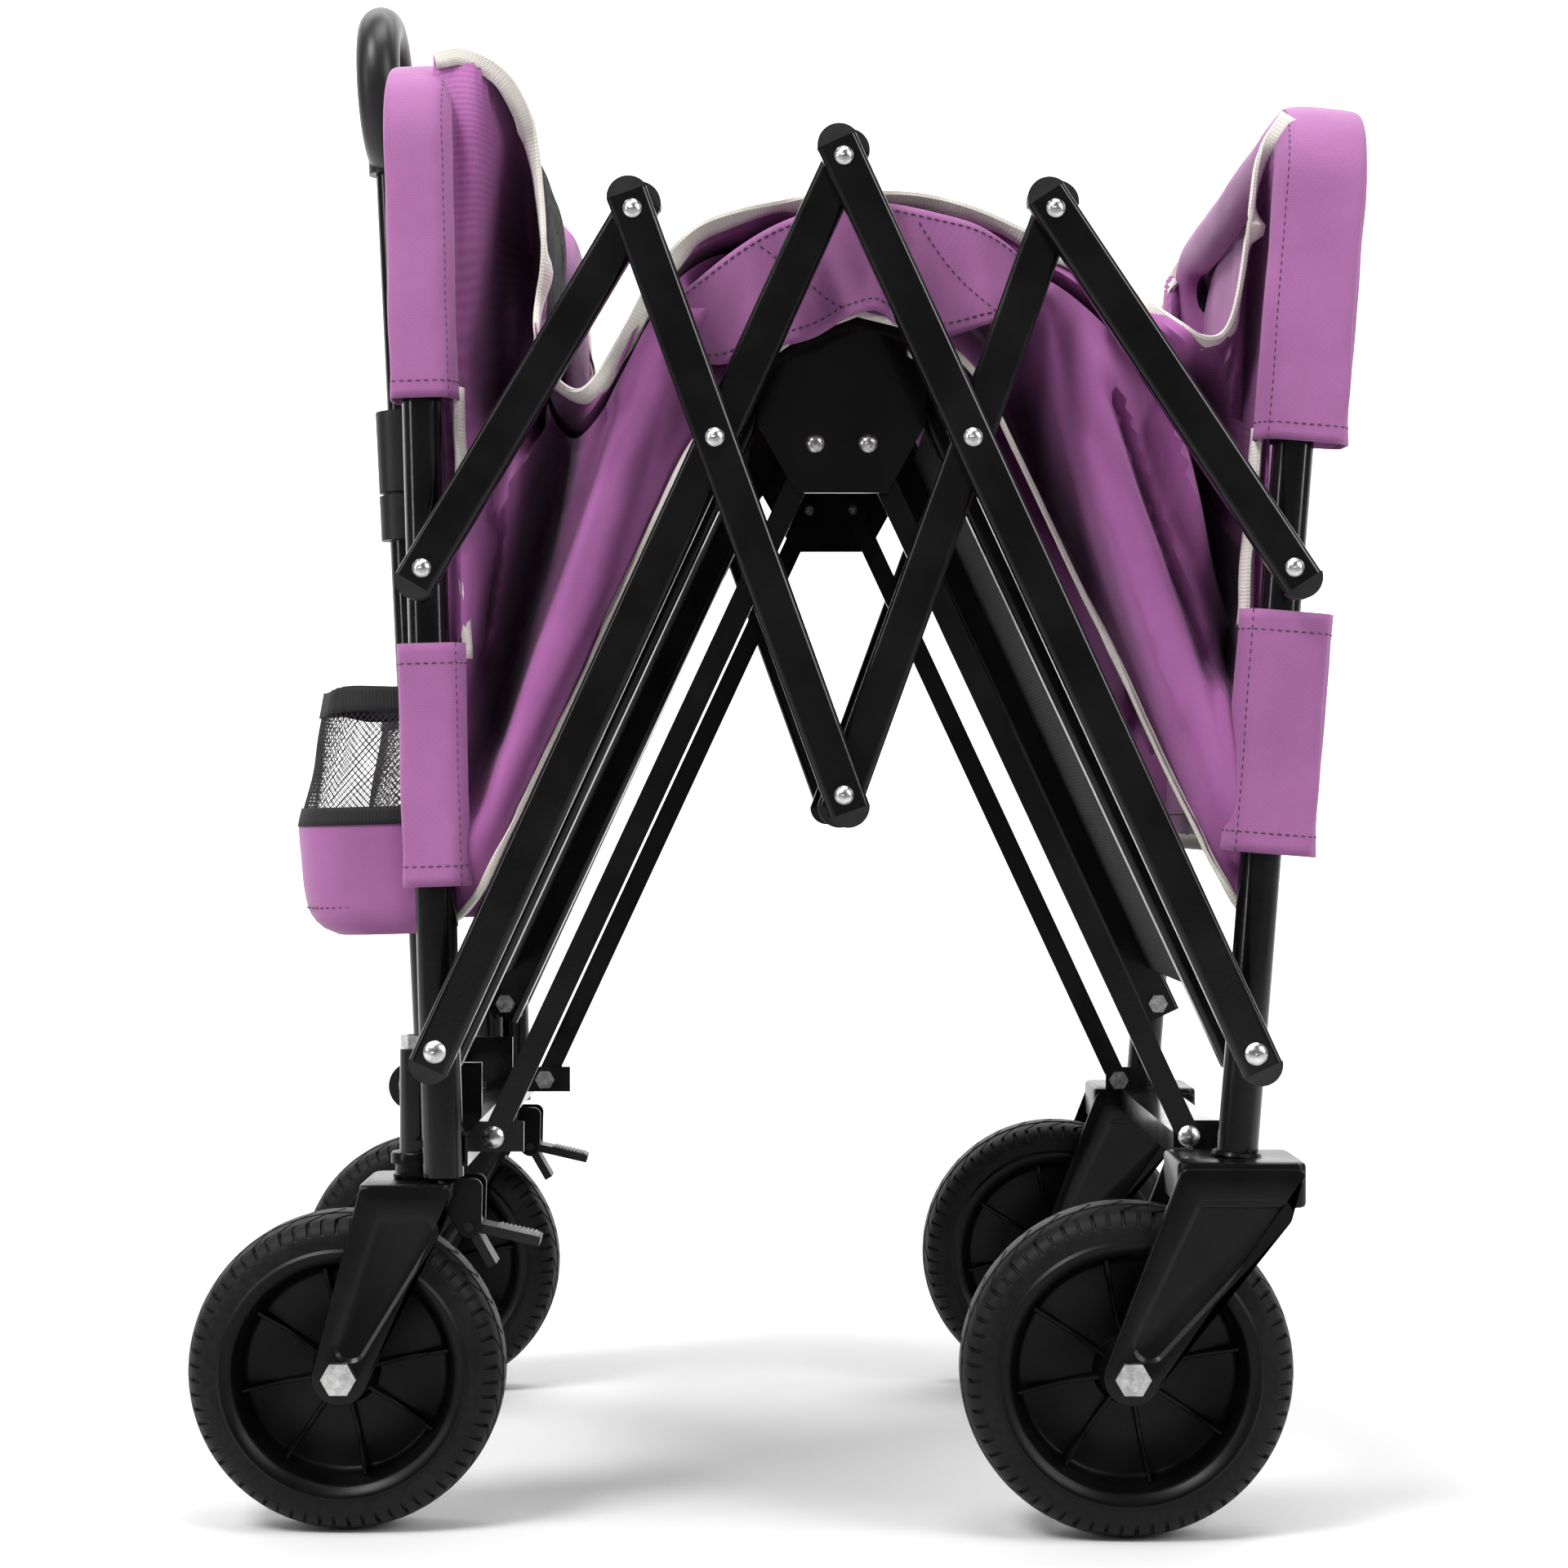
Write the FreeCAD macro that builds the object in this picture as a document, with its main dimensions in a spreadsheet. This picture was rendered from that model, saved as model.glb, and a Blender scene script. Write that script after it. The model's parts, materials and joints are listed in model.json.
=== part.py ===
"""Folding wagon with a telescopic pull handle, half folded, as a parametric FreeCAD document.

Millimetres, +Z up, floor at Z = 0. The front end with the handle and casters faces -X.
The wagon's left side is -Y.
Two end frames are joined on each side by a scissor of long bars, cross bars and links.
A floor that folds in its middle joins them below.
Angles in the X-Z plane are measured from +X towards +Z.
"""

import FreeCAD, Part
import Sketcher
import math
import os

doc = FreeCAD.newDocument("folding_wagon")
sheet = doc.addObject("Spreadsheet::Sheet", "sizes")

SIZES = {
    # whole wagon: where the linkage's middle lies, and the side planes
    "linkage_x": 36.2,
    "side_y": 220,
    "lower_pivot_z": 259.5,
    # scissor on each side
    "long_lower": 356,
    "long_upper": 163,
    "cross_upper": 128,
    "cross_lower": 200,
    "front_link_length": 219,
    "rear_link_length": 226.7,
    "long_angle": 65.4,
    "frame_pivot_rise": 256,
    "front_lean": 1.6,
    "rear_lean": 4.6,
    # flat-oval bar section, its plastic end caps and the two layers they lie in
    "bar_width": 22,
    "bar_depth": 12,
    "bar_wall": 1.2,
    "bar_corner": 3.5,
    "bar_end": 9,
    "cap_centre": 6,
    "cap_radius": 11.5,
    "inner_layer_y": 234,
    "outer_layer_y": 247,
    # fasteners
    "rivet_radius": 3,
    "rivet_clearance": 0.05,
    "rivet_head_radius": 5,
    "rivet_head_rise": 2.8,
    "bolt_head_radius": 6,
    "nut_radius": 6.4,
    "nut_height": 5,
    # end frames of bent round tube
    "tube_radius": 11,
    "tube_wall": 1.5,
    "bend_radius": 46,
    "front_top": 518,
    "rear_top": 497,
    "front_foot": 68.5,
    "rear_foot": 55,
    # cross members
    "cross_member_x": 16,
    "cross_member_z": 18,
    "cross_member_wall": 1.5,
    "front_cross_top": 214.5,
        "rear_cross_x": 34,
    "rear_cross_z": 14,
    # folding floor
    "rail_length": 418,
    "rail_hub": 40,
    "rail_width": 24,
    "rail_depth": 16,
    "rail_wall": 1.2,
    "rail_y": 172,
    "strap_offset_x": 25.5,
    "strap_offset_z": 51,
    "strap_width": 12.5,
    "strap_depth": 3,
    "front_strap_y": 185,
    "rear_strap_y": 180,
    "hub_plate_y": 190,
    "hub_plate_depth": 3,
    "board_depth": 5,
    "board_half_width": 172,
    "board_length": 372,
    "hub_half_width": 46,
    "hub_drop": 27,
    "hub_height": 98,
    "hub_low_width": 21,
    "hub_low_height": 38,
    "hub_high_chamfer": 10,
    "lug_length": 27,
    "lug_height": 16.5,
    "lug_depth": 3,
    # casters
    "caster_x": -230,
    "caster_y": 200,
    "caster_trail": 37.7,
    "socket_radius": 10,
    "socket_bore": 6.1,
    "stem_radius": 6,
    "socket_bottom": 203,
    "socket_top": 258,
    "crown_top": 188,
    "crown_depth": 5,
    "front_crown_length": 50,
    "front_crown_centre": -3,
    # fixed rear forks
    "rear_crown_length": 68,
    "rear_crown_centre": 209.6,
    "rear_crown_top": 202,
    "rear_crown_drop": 24,
    # wheels
    "front_wheel_radius": 85.5,
    "rear_wheel_radius": 89,
    "rear_axle_x": 151.4,
    "wheel_width": 52,
    "shoulder_drop": 7,
    "tyre_depth": 20.2,
    "rim_wall": 8,
    "rim_web": 4,
    "hub_radius": 15,
    "axle_radius": 5,
    "rib_depth": 3,
    "rib_rise": 9,
    "leg_gap": 30,
    "leg_depth": 4,
    "leg_end_radius": 15,
    # brakes
    "pedal_length": 38,
    "pedal_width": 19.6,
    "pedal_depth": 5,
    "pedal_shoe": 24,
    # pull handle
    "handle_x": -244.5,
    "handle_z": 230,
    "handle_lean": 2.8,
    "handle_bracket_y": 101,
    "handle_bracket_depth": 3,
    "lower_tube_radius": 11,
    "cross_tube_radius": 11.5,
    "lower_tube_length": 345,
    "upper_tube_radius": 8.8,
    "upper_tube_start": 60,
    "upper_tube_end": 556,
    "collar_radius": 16,
    "collar_start": 322,
    "collar_length": 78,
    "collar_block": 27,
    "grip_ring_radius": 38,
    "grip_radius": 13,
    "grip_stem_length": 12,
    "grip_centre": 595,
    # fabric
    "sleeve_half_y": 13,
    "front_sleeve_half_x": 17,
    "sleeve_gap": 0.4,
    "rear_sleeve_half_x": 24,
    "panel_depth": 3,
    "pocket_inner_y": 76,
    "pocket_width": 112,
    "pocket_depth": 73,
    "pocket_wall": 2.5,
    "pocket_height": 136,
    "pocket_bottom": 320,
    "side_cloth_y": 212,
    "side_cloth_depth": 4,
}

for row, (alias, value) in enumerate(SIZES.items(), 1):
    sheet.set(f"A{row}", alias)
    sheet.set(f"B{row}", str(value))
    sheet.setAlias(f"B{row}", alias)
doc.recompute()


def size(alias):
    """A driving dimension, read back from the sheet."""
    return float(sheet.get(alias))


def vector(x, y, z):
    return FreeCAD.Vector(x, y, z)


X_AXIS, Y_AXIS, Z_AXIS = vector(1, 0, 0), vector(0, 1, 0), vector(0, 0, 1)
ALONG_Y = FreeCAD.Rotation(X_AXIS, -90)
ALONG_X = FreeCAD.Rotation(Y_AXIS, 90)
UPRIGHT = FreeCAD.Rotation()
SIDES = (("left", -1), ("right", 1))
finished = []


def made(kind, name, **expressions):
    """A document object with its properties bound to expressions on the sheet."""
    obj = doc.addObject(kind, name)
    for prop, expression in expressions.items():
        obj.setExpression(prop.replace("__", "."), expression)
    return obj


def put(obj, x=0.0, y=0.0, z=0.0, turn=UPRIGHT):
    """Place a primitive inside its own sub-part."""
    obj.Placement = FreeCAD.Placement(vector(x, y, z), turn)
    return obj


def box(name, length, width, height, at=(0, 0, 0), turn=UPRIGHT):
    return put(made("Part::Box", name, Length=length, Width=width, Height=height), *at, turn)


def cylinder(name, radius, height, at=(0, 0, 0), turn=ALONG_Y):
    return put(made("Part::Cylinder", name, Radius=radius, Height=height), *at, turn)


def hexagon(name, radius, height, at=(0, 0, 0), turn=ALONG_Y):
    prism = made("Part::Prism", name, Circumradius=radius, Height=height)
    prism.Polygon = 6
    return put(prism, *at, turn)


def dome(name, radius, rise, at=(0, 0, 0), turn=ALONG_Y):
    """A domed head: the cap of a sphere, with its flat base at the given point."""
    ball = f"(({radius})^2 + ({rise})^2) / (2 * ({rise}))"
    cap = made("Part::Sphere", name, Radius=ball, Angle1=f"asin(1 - ({rise}) / ({ball}))")
    doc.recompute()
    sink = cap.Radius.Value * math.sin(math.radians(cap.Angle1.Value))
    return put(cap, *(vector(*at) - turn.multVec(Z_AXIS) * sink), turn)


def joined(name, pieces):
    fuse = doc.addObject("Part::MultiFuse", name)
    fuse.Shapes = pieces
    return fuse


def group(name, pieces):
    """Separate solids that share one node."""
    compound = doc.addObject("Part::Compound", name)
    compound.Links = pieces
    return compound


def less(name, body, tools):
    """A piece with one or more tools cut away."""
    cut = doc.addObject("Part::Cut", name)
    cut.Base = body
    cut.Tool = tools[0] if len(tools) == 1 else joined(name + "_tools", tools)
    return cut


def mirrored(name, source):
    """The same piece on the wagon's other side."""
    mirror = doc.addObject("Part::Mirroring", name)
    mirror.Source = source
    mirror.Normal = Y_AXIS
    return mirror


def finish(obj, label, at=(0, 0, 0), turn=UPRIGHT):
    """Name a sub-part, set it in its place in the wagon and list it for export."""
    obj.Label = label
    obj.Placement = FreeCAD.Placement(vector(*at), turn)
    finished.append(obj)
    return obj


def swing(degrees):
    """Rotation in the X-Z plane, from +X towards +Z."""
    return FreeCAD.Rotation(vector(0, -1, 0), degrees)


# ---- where the pivots are, worked out from the bars' lengths ----

MIDDLE = size("linkage_x")
PIVOT_Z = size("lower_pivot_z")
LONG_ANGLE = size("long_angle")
LONG_LENGTH = size("long_lower") + size("long_upper")


def along(start, degrees, distance):
    angle = math.radians(degrees)
    return (start[0] + distance * math.cos(angle), start[1] + distance * math.sin(angle))


def across(point):
    """The same point on the rear half of the wagon."""
    return (2 * MIDDLE - point[0], point[1])


half_span = LONG_LENGTH * math.cos(math.radians(LONG_ANGLE))
FRONT_FOOT = (MIDDLE - half_span, PIVOT_Z)
REAR_FOOT = across(FRONT_FOOT)
APEX = along(FRONT_FOOT, LONG_ANGLE, LONG_LENGTH)
FRONT_CROSSING = along(FRONT_FOOT, LONG_ANGLE, size("long_lower"))
REAR_CROSSING = across(FRONT_CROSSING)
half_gap = MIDDLE - FRONT_CROSSING[0]
CROSS_ANGLE = math.degrees(math.acos(half_gap / size("cross_lower")))
LOW_PIVOT = along(FRONT_CROSSING, -CROSS_ANGLE, size("cross_lower"))
FRONT_TOP_PIVOT = along(FRONT_CROSSING, 180 - CROSS_ANGLE, size("cross_upper"))
REAR_TOP_PIVOT = across(FRONT_TOP_PIVOT)
FRONT_FRAME_PIVOT = along(FRONT_FOOT, 90 + size("front_lean"), size("frame_pivot_rise"))
REAR_FRAME_PIVOT = along(REAR_FOOT, 90 - size("rear_lean"), size("frame_pivot_rise"))


def heading(start, end):
    return math.degrees(math.atan2(end[1] - start[1], end[0] - start[0]))


FRONT_LINK_ANGLE = heading(FRONT_TOP_PIVOT, FRONT_FRAME_PIVOT)
REAR_LINK_ANGLE = heading(REAR_TOP_PIVOT, REAR_FRAME_PIVOT)
RAIL_ANGLE = math.degrees(math.acos((half_span - size("rail_hub")) / size("rail_length")))
FRONT_HUB_PIVOT = along(FRONT_FOOT, RAIL_ANGLE, size("rail_length"))
REAR_HUB_PIVOT = across(FRONT_HUB_PIVOT)
FRONT_LUG = (FRONT_FOOT[0] + size("strap_offset_x"), FRONT_FOOT[1] - size("strap_offset_z"))
REAR_LUG = across(FRONT_LUG)
SIDE_Y = size("side_y")


# ---- bars, caps, rivets ----


def bar(name, length, bores, depth="sizes.bar_depth", width="sizes.bar_width", wall="sizes.bar_wall"):
    """Flat-oval tube along +X from its first pivot, near face at Y = 0, with bores at the pivots."""
    outer = box(name + "_outer", f"{length} + 2 * sizes.bar_end", depth, width)
    outer.setExpression("Placement.Base.x", "-sizes.bar_end")
    outer.setExpression("Placement.Base.z", f"-({width}) / 2")
    doc.recompute()
    rounded = doc.addObject("Part::Fillet", name + "_rounded")
    rounded.Base = outer
    radius = size("bar_corner")
    long_edges = [
        index
        for index, edge in enumerate(outer.Shape.Edges, 1)
        if abs(edge.tangentAt(edge.FirstParameter).x) > 0.99
    ]
    rounded.Edges = [(index, radius, radius) for index in long_edges]
    inner = box(
        name + "_inner",
        f"{length} + 2 * sizes.bar_end + 2",
        f"{depth} - 2 * {wall}",
        f"{width} - 2 * {wall}",
    )
    inner.setExpression("Placement.Base.x", "-sizes.bar_end - 1")
    inner.setExpression("Placement.Base.y", wall)
    inner.setExpression("Placement.Base.z", f"{wall} - ({width}) / 2")
    drills = []
    for index, distance in enumerate(bores):
        drill = cylinder(
            f"{name}_bore{index}",
            "sizes.rivet_radius + sizes.rivet_clearance",
            f"{depth} + 2",
            (0, -1, 0),
        )
        drill.setExpression("Placement.Base.x", distance)
        drills.append(drill)
    return less(name, rounded, [inner] + drills)


def end_cap(name, direction):
    """Moulded cap that closes one end of a bar: a half-round nose and a plug. The pivot is at X = 0."""
    nose = cylinder(name + "_nose", "sizes.cap_radius", "sizes.bar_depth + 0.4", (0, -0.2, 0))
    nose.setExpression("Placement.Base.x", "sizes.cap_centre")
    trim = box(
        name + "_trim",
        "2 * sizes.cap_radius",
        "sizes.bar_depth + 4",
        "2 * sizes.cap_radius + 4",
        (0, -2, -size("cap_radius") - 2),
    )
    trim.setExpression("Placement.Base.x", "sizes.bar_end - 2 * sizes.cap_radius")
    head = less(name + "_head", nose, [trim])
    plug = box(
        name + "_plug",
        "sizes.bar_end - sizes.rivet_head_radius",
        "sizes.bar_depth - 2 * sizes.bar_wall",
        "sizes.bar_width - 2 * sizes.bar_wall",
    )
    plug.setExpression("Placement.Base.x", "sizes.rivet_head_radius")
    plug.setExpression("Placement.Base.y", "sizes.bar_wall")
    plug.setExpression("Placement.Base.z", "sizes.bar_wall - sizes.bar_width / 2")
    whole = joined(name, [head, plug])
    if direction > 0:
        return whole
    return put(whole, y=size("bar_depth"), turn=FreeCAD.Rotation(Z_AXIS, 180))


def cap_pair(name, length):
    """The caps at both ends of a bar."""
    near = end_cap(name + "_near", -1)
    far = end_cap(name + "_far", 1)
    far.setExpression("Placement.Base.x", length)
    return group(name, [near, far])


def layer_place(point, layer, degrees):
    """Place for a piece whose outer face lies on the left side's bar layer."""
    depth = size("bar_depth")
    return FreeCAD.Placement(vector(point[0], -size(layer) - depth, point[1]), swing(degrees))


def both_sides(name, piece, placement):
    """One piece placed on the left side, and its mirror image on the right."""
    left = group(name + "_left_side", [piece])
    left.Placement = placement
    return left, mirrored(name + "_right_side", left)


def bar_set(label, lengths, point, layer, degrees):
    """A bar on each side, and their caps. lengths are the pivots' distances from the first one."""
    span = lengths[-1]
    piece = bar(label + "_tube", span, ["0"] + list(lengths))
    caps = cap_pair(label + "_cap", span)
    placement = layer_place(point, layer, degrees)
    finish(group(label + "_pair", both_sides(label, piece, placement)), label + "s")
    finish(group(label + "_cap_set", both_sides(label + "_caps", caps, placement)), label + "_caps")


LONG = ("sizes.long_lower", "sizes.long_lower + sizes.long_upper")
CROSS = ("sizes.cross_upper", "sizes.cross_upper + sizes.cross_lower")
FRONT_LINK = ("sizes.front_link_length",)
REAR_LINK = ("sizes.rear_link_length",)
bar_set("front_long_bar", LONG, FRONT_FOOT, "inner_layer_y", LONG_ANGLE)
bar_set("rear_long_bar", LONG, REAR_FOOT, "outer_layer_y", 180 - LONG_ANGLE)
bar_set("front_cross_bar", CROSS, FRONT_TOP_PIVOT, "outer_layer_y", -CROSS_ANGLE)
bar_set("rear_cross_bar", CROSS, REAR_TOP_PIVOT, "inner_layer_y", 180 + CROSS_ANGLE)
bar_set("front_link", FRONT_LINK, FRONT_TOP_PIVOT, "inner_layer_y", FRONT_LINK_ANGLE)
bar_set("rear_link", REAR_LINK, REAR_TOP_PIVOT, "outer_layer_y", REAR_LINK_ANGLE)

# ---- rivets and bolts: each starts at its outer face on the left side and runs inward along +Y ----

TOWARDS_LEFT = FreeCAD.Rotation(X_AXIS, 90)
INNER_FACE = size("inner_layer_y") + size("bar_depth")
OUTER_FACE = size("outer_layer_y") + size("bar_depth")
TAIL = 1.5


def rivet(name, point, face, reach, tail=True):
    """A domed rivet with its head on the face and a shaft that reaches inward; the tail is the set end."""
    start = (point[0], -face, point[1])
    pieces = [
        dome(name + "_head", "sizes.rivet_head_radius", "sizes.rivet_head_rise", start, TOWARDS_LEFT),
        cylinder(name + "_shaft", "sizes.rivet_radius", str(reach), start),
    ]
    if tail:
        end = (point[0], reach - face, point[1])
        pieces.append(cylinder(name + "_tail", "sizes.rivet_head_radius - 0.5", str(TAIL), end))
    return joined(name, pieces)


def bolt(name, point, face, reach, spacer=0.0, spacer_from=0.0):
    """A pan-head bolt with a hex nut at its inner end, and a spacer sleeve where it spans a gap."""
    start = (point[0], -face, point[1])
    pieces = [
        dome(name + "_head", "sizes.bolt_head_radius", "sizes.rivet_head_rise", start, TOWARDS_LEFT),
        cylinder(name + "_shaft", "sizes.rivet_radius", f"{reach} + sizes.nut_height", start),
        hexagon(name + "_nut", "sizes.nut_radius", "sizes.nut_height", (point[0], reach - face, point[1])),
    ]
    if spacer:
        place = (point[0], -spacer_from - spacer, point[1])
        pieces.append(cylinder(name + "_spacer", "sizes.nut_radius", str(spacer), place))
    return joined(name, pieces)


def fastener_set(label, pieces):
    """Fasteners of one body, on both sides of the wagon, in one node."""
    one_side = group(label + "_one_side", pieces)
    finish(group(label + "_both", [one_side, mirrored(label + "_mirror", one_side)]), label)


BOTH_LAYERS = OUTER_FACE - size("inner_layer_y")
ONE_LAYER = size("bar_depth")
TUBE_FACE = SIDE_Y + size("tube_radius")
SPACER_GAP = 0.2
link_end = along(REAR_TOP_PIVOT, REAR_LINK_ANGLE, size("rear_link_length"))
fastener_set(
    "rear_long_bar_rivets",
    [
        rivet("apex_rivet", APEX, OUTER_FACE, BOTH_LAYERS),
        rivet("rear_crossing_rivet", REAR_CROSSING, OUTER_FACE, BOTH_LAYERS),
    ],
)
fastener_set(
    "front_cross_bar_rivets",
    [
        rivet("front_crossing_rivet", FRONT_CROSSING, OUTER_FACE, BOTH_LAYERS),
        rivet("front_top_rivet", FRONT_TOP_PIVOT, OUTER_FACE, BOTH_LAYERS),
        rivet("low_rivet", LOW_PIVOT, OUTER_FACE, ONE_LAYER, tail=False),
    ],
)
link_spacer = size("outer_layer_y") - TUBE_FACE - SPACER_GAP
link_shoulder = cylinder(
    "link_shoulder",
    "sizes.nut_radius",
    str(link_spacer),
    (link_end[0], -size("outer_layer_y"), link_end[1]),
)
fastener_set(
    "rear_link_rivets",
    [
        rivet("rear_top_rivet", REAR_TOP_PIVOT, OUTER_FACE, BOTH_LAYERS),
        joined(
            "rear_frame_screw",
            [rivet("rear_screw", link_end, OUTER_FACE, ONE_LAYER, tail=False), link_shoulder],
        ),
    ],
)
front_link_end = along(FRONT_TOP_PIVOT, FRONT_LINK_ANGLE, size("front_link_length"))
fastener_set(
    "front_link_screws",
    [rivet("front_frame_screw", front_link_end, INNER_FACE, ONE_LAYER, tail=False)],
)

STRAP_REACH = size("strap_depth") + 0.5 + size("lug_depth")
STRAP_FACE = {end: size(end + "_strap_y") + size("strap_depth") for end in ("front", "rear")}
front_gap = size("inner_layer_y") - TUBE_FACE - SPACER_GAP
fastener_set(
    "front_frame_bolts",
    [
        bolt("front_foot_bolt", FRONT_FOOT, INNER_FACE, INNER_FACE - size("rail_y"), front_gap, TUBE_FACE),
        bolt("front_strap_bolt", FRONT_LUG, STRAP_FACE["front"], STRAP_REACH),
    ],
)
rear_gap = size("outer_layer_y") - TUBE_FACE - SPACER_GAP
fastener_set(
    "rear_frame_bolts",
    [
        bolt("rear_foot_bolt", REAR_FOOT, OUTER_FACE, OUTER_FACE - size("rail_y"), rear_gap, TUBE_FACE),
        bolt("rear_strap_bolt", REAR_LUG, STRAP_FACE["rear"], STRAP_REACH),
    ],
)

# ---- end frames: one bent tube each, in the frame's own leaning axes with the foot pivot at the origin ----

QUARTER_RIGHT = FreeCAD.Rotation(Y_AXIS, Z_AXIS, X_AXIS, "XYZ")
QUARTER_LEFT = FreeCAD.Rotation(Z_AXIS, vector(0, -1, 0), X_AXIS, "XYZ")


def bent_bar(name, radius, top, foot):
    """A solid inverted U: two uprights, two quarter bends and the top rail."""
    reach = size("bend_radius")
    corner_z = size(top) - reach
    corner_y = SIDE_Y - reach
    pieces = []
    for side, sign in SIDES:
        height = f"sizes.{top} - sizes.bend_radius + {foot}"
        upright = cylinder(f"{name}_{side}", radius, height, turn=UPRIGHT)
        upright.setExpression("Placement.Base.y", f"{sign} * sizes.side_y")
        upright.setExpression("Placement.Base.z", f"-({foot})")
        bend = made("Part::Torus", f"{name}_{side}_bend", Radius1="sizes.bend_radius", Radius2=radius)
        bend.Angle3 = 90
        put(bend, 0, sign * corner_y, corner_z, QUARTER_RIGHT if sign > 0 else QUARTER_LEFT)
        pieces += [upright, bend]
    rail = cylinder(name + "_top", radius, "2 * (sizes.side_y - sizes.bend_radius)")
    rail.setExpression("Placement.Base.y", "sizes.bend_radius - sizes.side_y")
    rail.setExpression("Placement.Base.z", f"sizes.{top}")
    return joined(name, pieces + [rail])


def end_frame(label, top, foot, foot_point, lean):
    """The hollow bent tube with its foot pivot bores."""
    outer = bent_bar(label + "_outer", "sizes.tube_radius", top, f"sizes.{foot}")
    inner = bent_bar(label + "_inner", "sizes.tube_radius - sizes.tube_wall", top, f"sizes.{foot} + 1")
    bore = cylinder(label + "_bore", "sizes.rivet_radius", "2 * sizes.side_y + 80", (0, -SIDE_Y - 40, 0))
    tube = less(label, outer, [inner, bore])
    return finish(tube, label, (foot_point[0], 0, foot_point[1]), swing(lean))


FRONT_LEAN = size("front_lean")
REAR_LEAN = -size("rear_lean")
end_frame("front_frame_tube", "front_top", "front_foot", FRONT_FOOT, FRONT_LEAN)
end_frame("rear_frame_tube", "rear_top", "rear_foot", REAR_FOOT, REAR_LEAN)


def upright_tools(name, foot_point, lean):
    """The two uprights as solid cutters, where other pieces are coped around them."""
    tools = []
    for side, sign in SIDES:
        tool = cylinder(f"{name}_{side}", "sizes.tube_radius", "400", turn=swing(lean))
        low = along(foot_point, 90 + lean, -200)
        tools.append(put(tool, low[0], sign * SIDE_Y, low[1], swing(lean)))
    return tools


# ---- front frame's cross member, handle brackets, strap lugs and caster sockets ----


def rectangular_tube(name, length_x, length_y, length_z, wall, at):
    outer = box(name + "_outer", length_x, length_y, length_z, at)
    bore = (at[0] + size(wall), at[1] - 1, at[2] + size(wall))
    inner = box(
        name + "_inner",
        f"{length_x} - 2 * sizes.{wall}",
        f"{length_y} + 2",
        f"{length_z} - 2 * sizes.{wall}",
        bore,
    )
    return outer, inner


front_cross_at = (
    FRONT_FOOT[0] - 1,
    -SIDE_Y,
    size("front_cross_top") - size("cross_member_z"),
)
outer, inner = rectangular_tube(
    "front_cross",
    "sizes.cross_member_x",
    "2 * sizes.side_y",
    "sizes.cross_member_z",
    "cross_member_wall",
    front_cross_at,
)
front_cross = less("front_cross_cut", outer, [inner] + upright_tools("front_cope", FRONT_FOOT, FRONT_LEAN))
FRONT_CROSS_FACE = front_cross_at[0] + size("cross_member_x")

HANDLE_PIVOT = (MIDDLE + size("handle_x"), size("handle_z"))
brackets = []
for side, sign in SIDES:
    plate = box(
        f"handle_bracket_{side}_plate",
        str(FRONT_CROSS_FACE - 4 - HANDLE_PIVOT[0]),
        "sizes.handle_bracket_depth",
        "2 * 14",
        (HANDLE_PIVOT[0], sign * size("handle_bracket_y") - 1.5, size("front_cross_top")),
    )
    eye = cylinder(
        f"handle_bracket_{side}_eye",
        "14",
        "sizes.handle_bracket_depth",
        (HANDLE_PIVOT[0], sign * size("handle_bracket_y") - 1.5, HANDLE_PIVOT[1] - 1),
    )
    hole = cylinder(
        f"handle_bracket_{side}_hole",
        "sizes.axle_radius + sizes.rivet_clearance",
        "10",
        (HANDLE_PIVOT[0], sign * size("handle_bracket_y") - 5, HANDLE_PIVOT[1]),
    )
    solid = joined(f"handle_bracket_{side}_solid", [plate, eye])
    brackets.append(less(f"handle_bracket_{side}", solid, [hole]))
finish(group("handle_bracket_pair", brackets), "handle_brackets")


def lugs(label, point, strap_y, low_x, low_z, length, height):
    """The two strap lugs of one end frame: plates welded to the cross member, just inboard of the straps."""
    plates = []
    for side, sign in SIDES:
        middle_y = sign * (size(strap_y) - 0.5 - size("lug_depth") / 2)
        y = middle_y - size("lug_depth") / 2
        plate = box(f"{label}_{side}_plate", length, "sizes.lug_depth", height, (low_x, y, low_z))
        hole = cylinder(f"{label}_{side}_hole", "sizes.rivet_radius", "10", (point[0], y - 2, point[1]))
        plates.append(less(f"{label}_{side}", plate, [hole]))
    return plates


FRONT_LUG_Z = FRONT_LUG[1] - size("lug_height") / 2
front_lugs = lugs(
    "front_strap_lug",
    FRONT_LUG,
    "front_strap_y",
    FRONT_CROSS_FACE,
    FRONT_LUG_Z,
    "sizes.lug_length",
    "sizes.lug_height",
)
finish(joined("front_cross_welded", [front_cross] + front_lugs), "front_cross_member")

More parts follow.
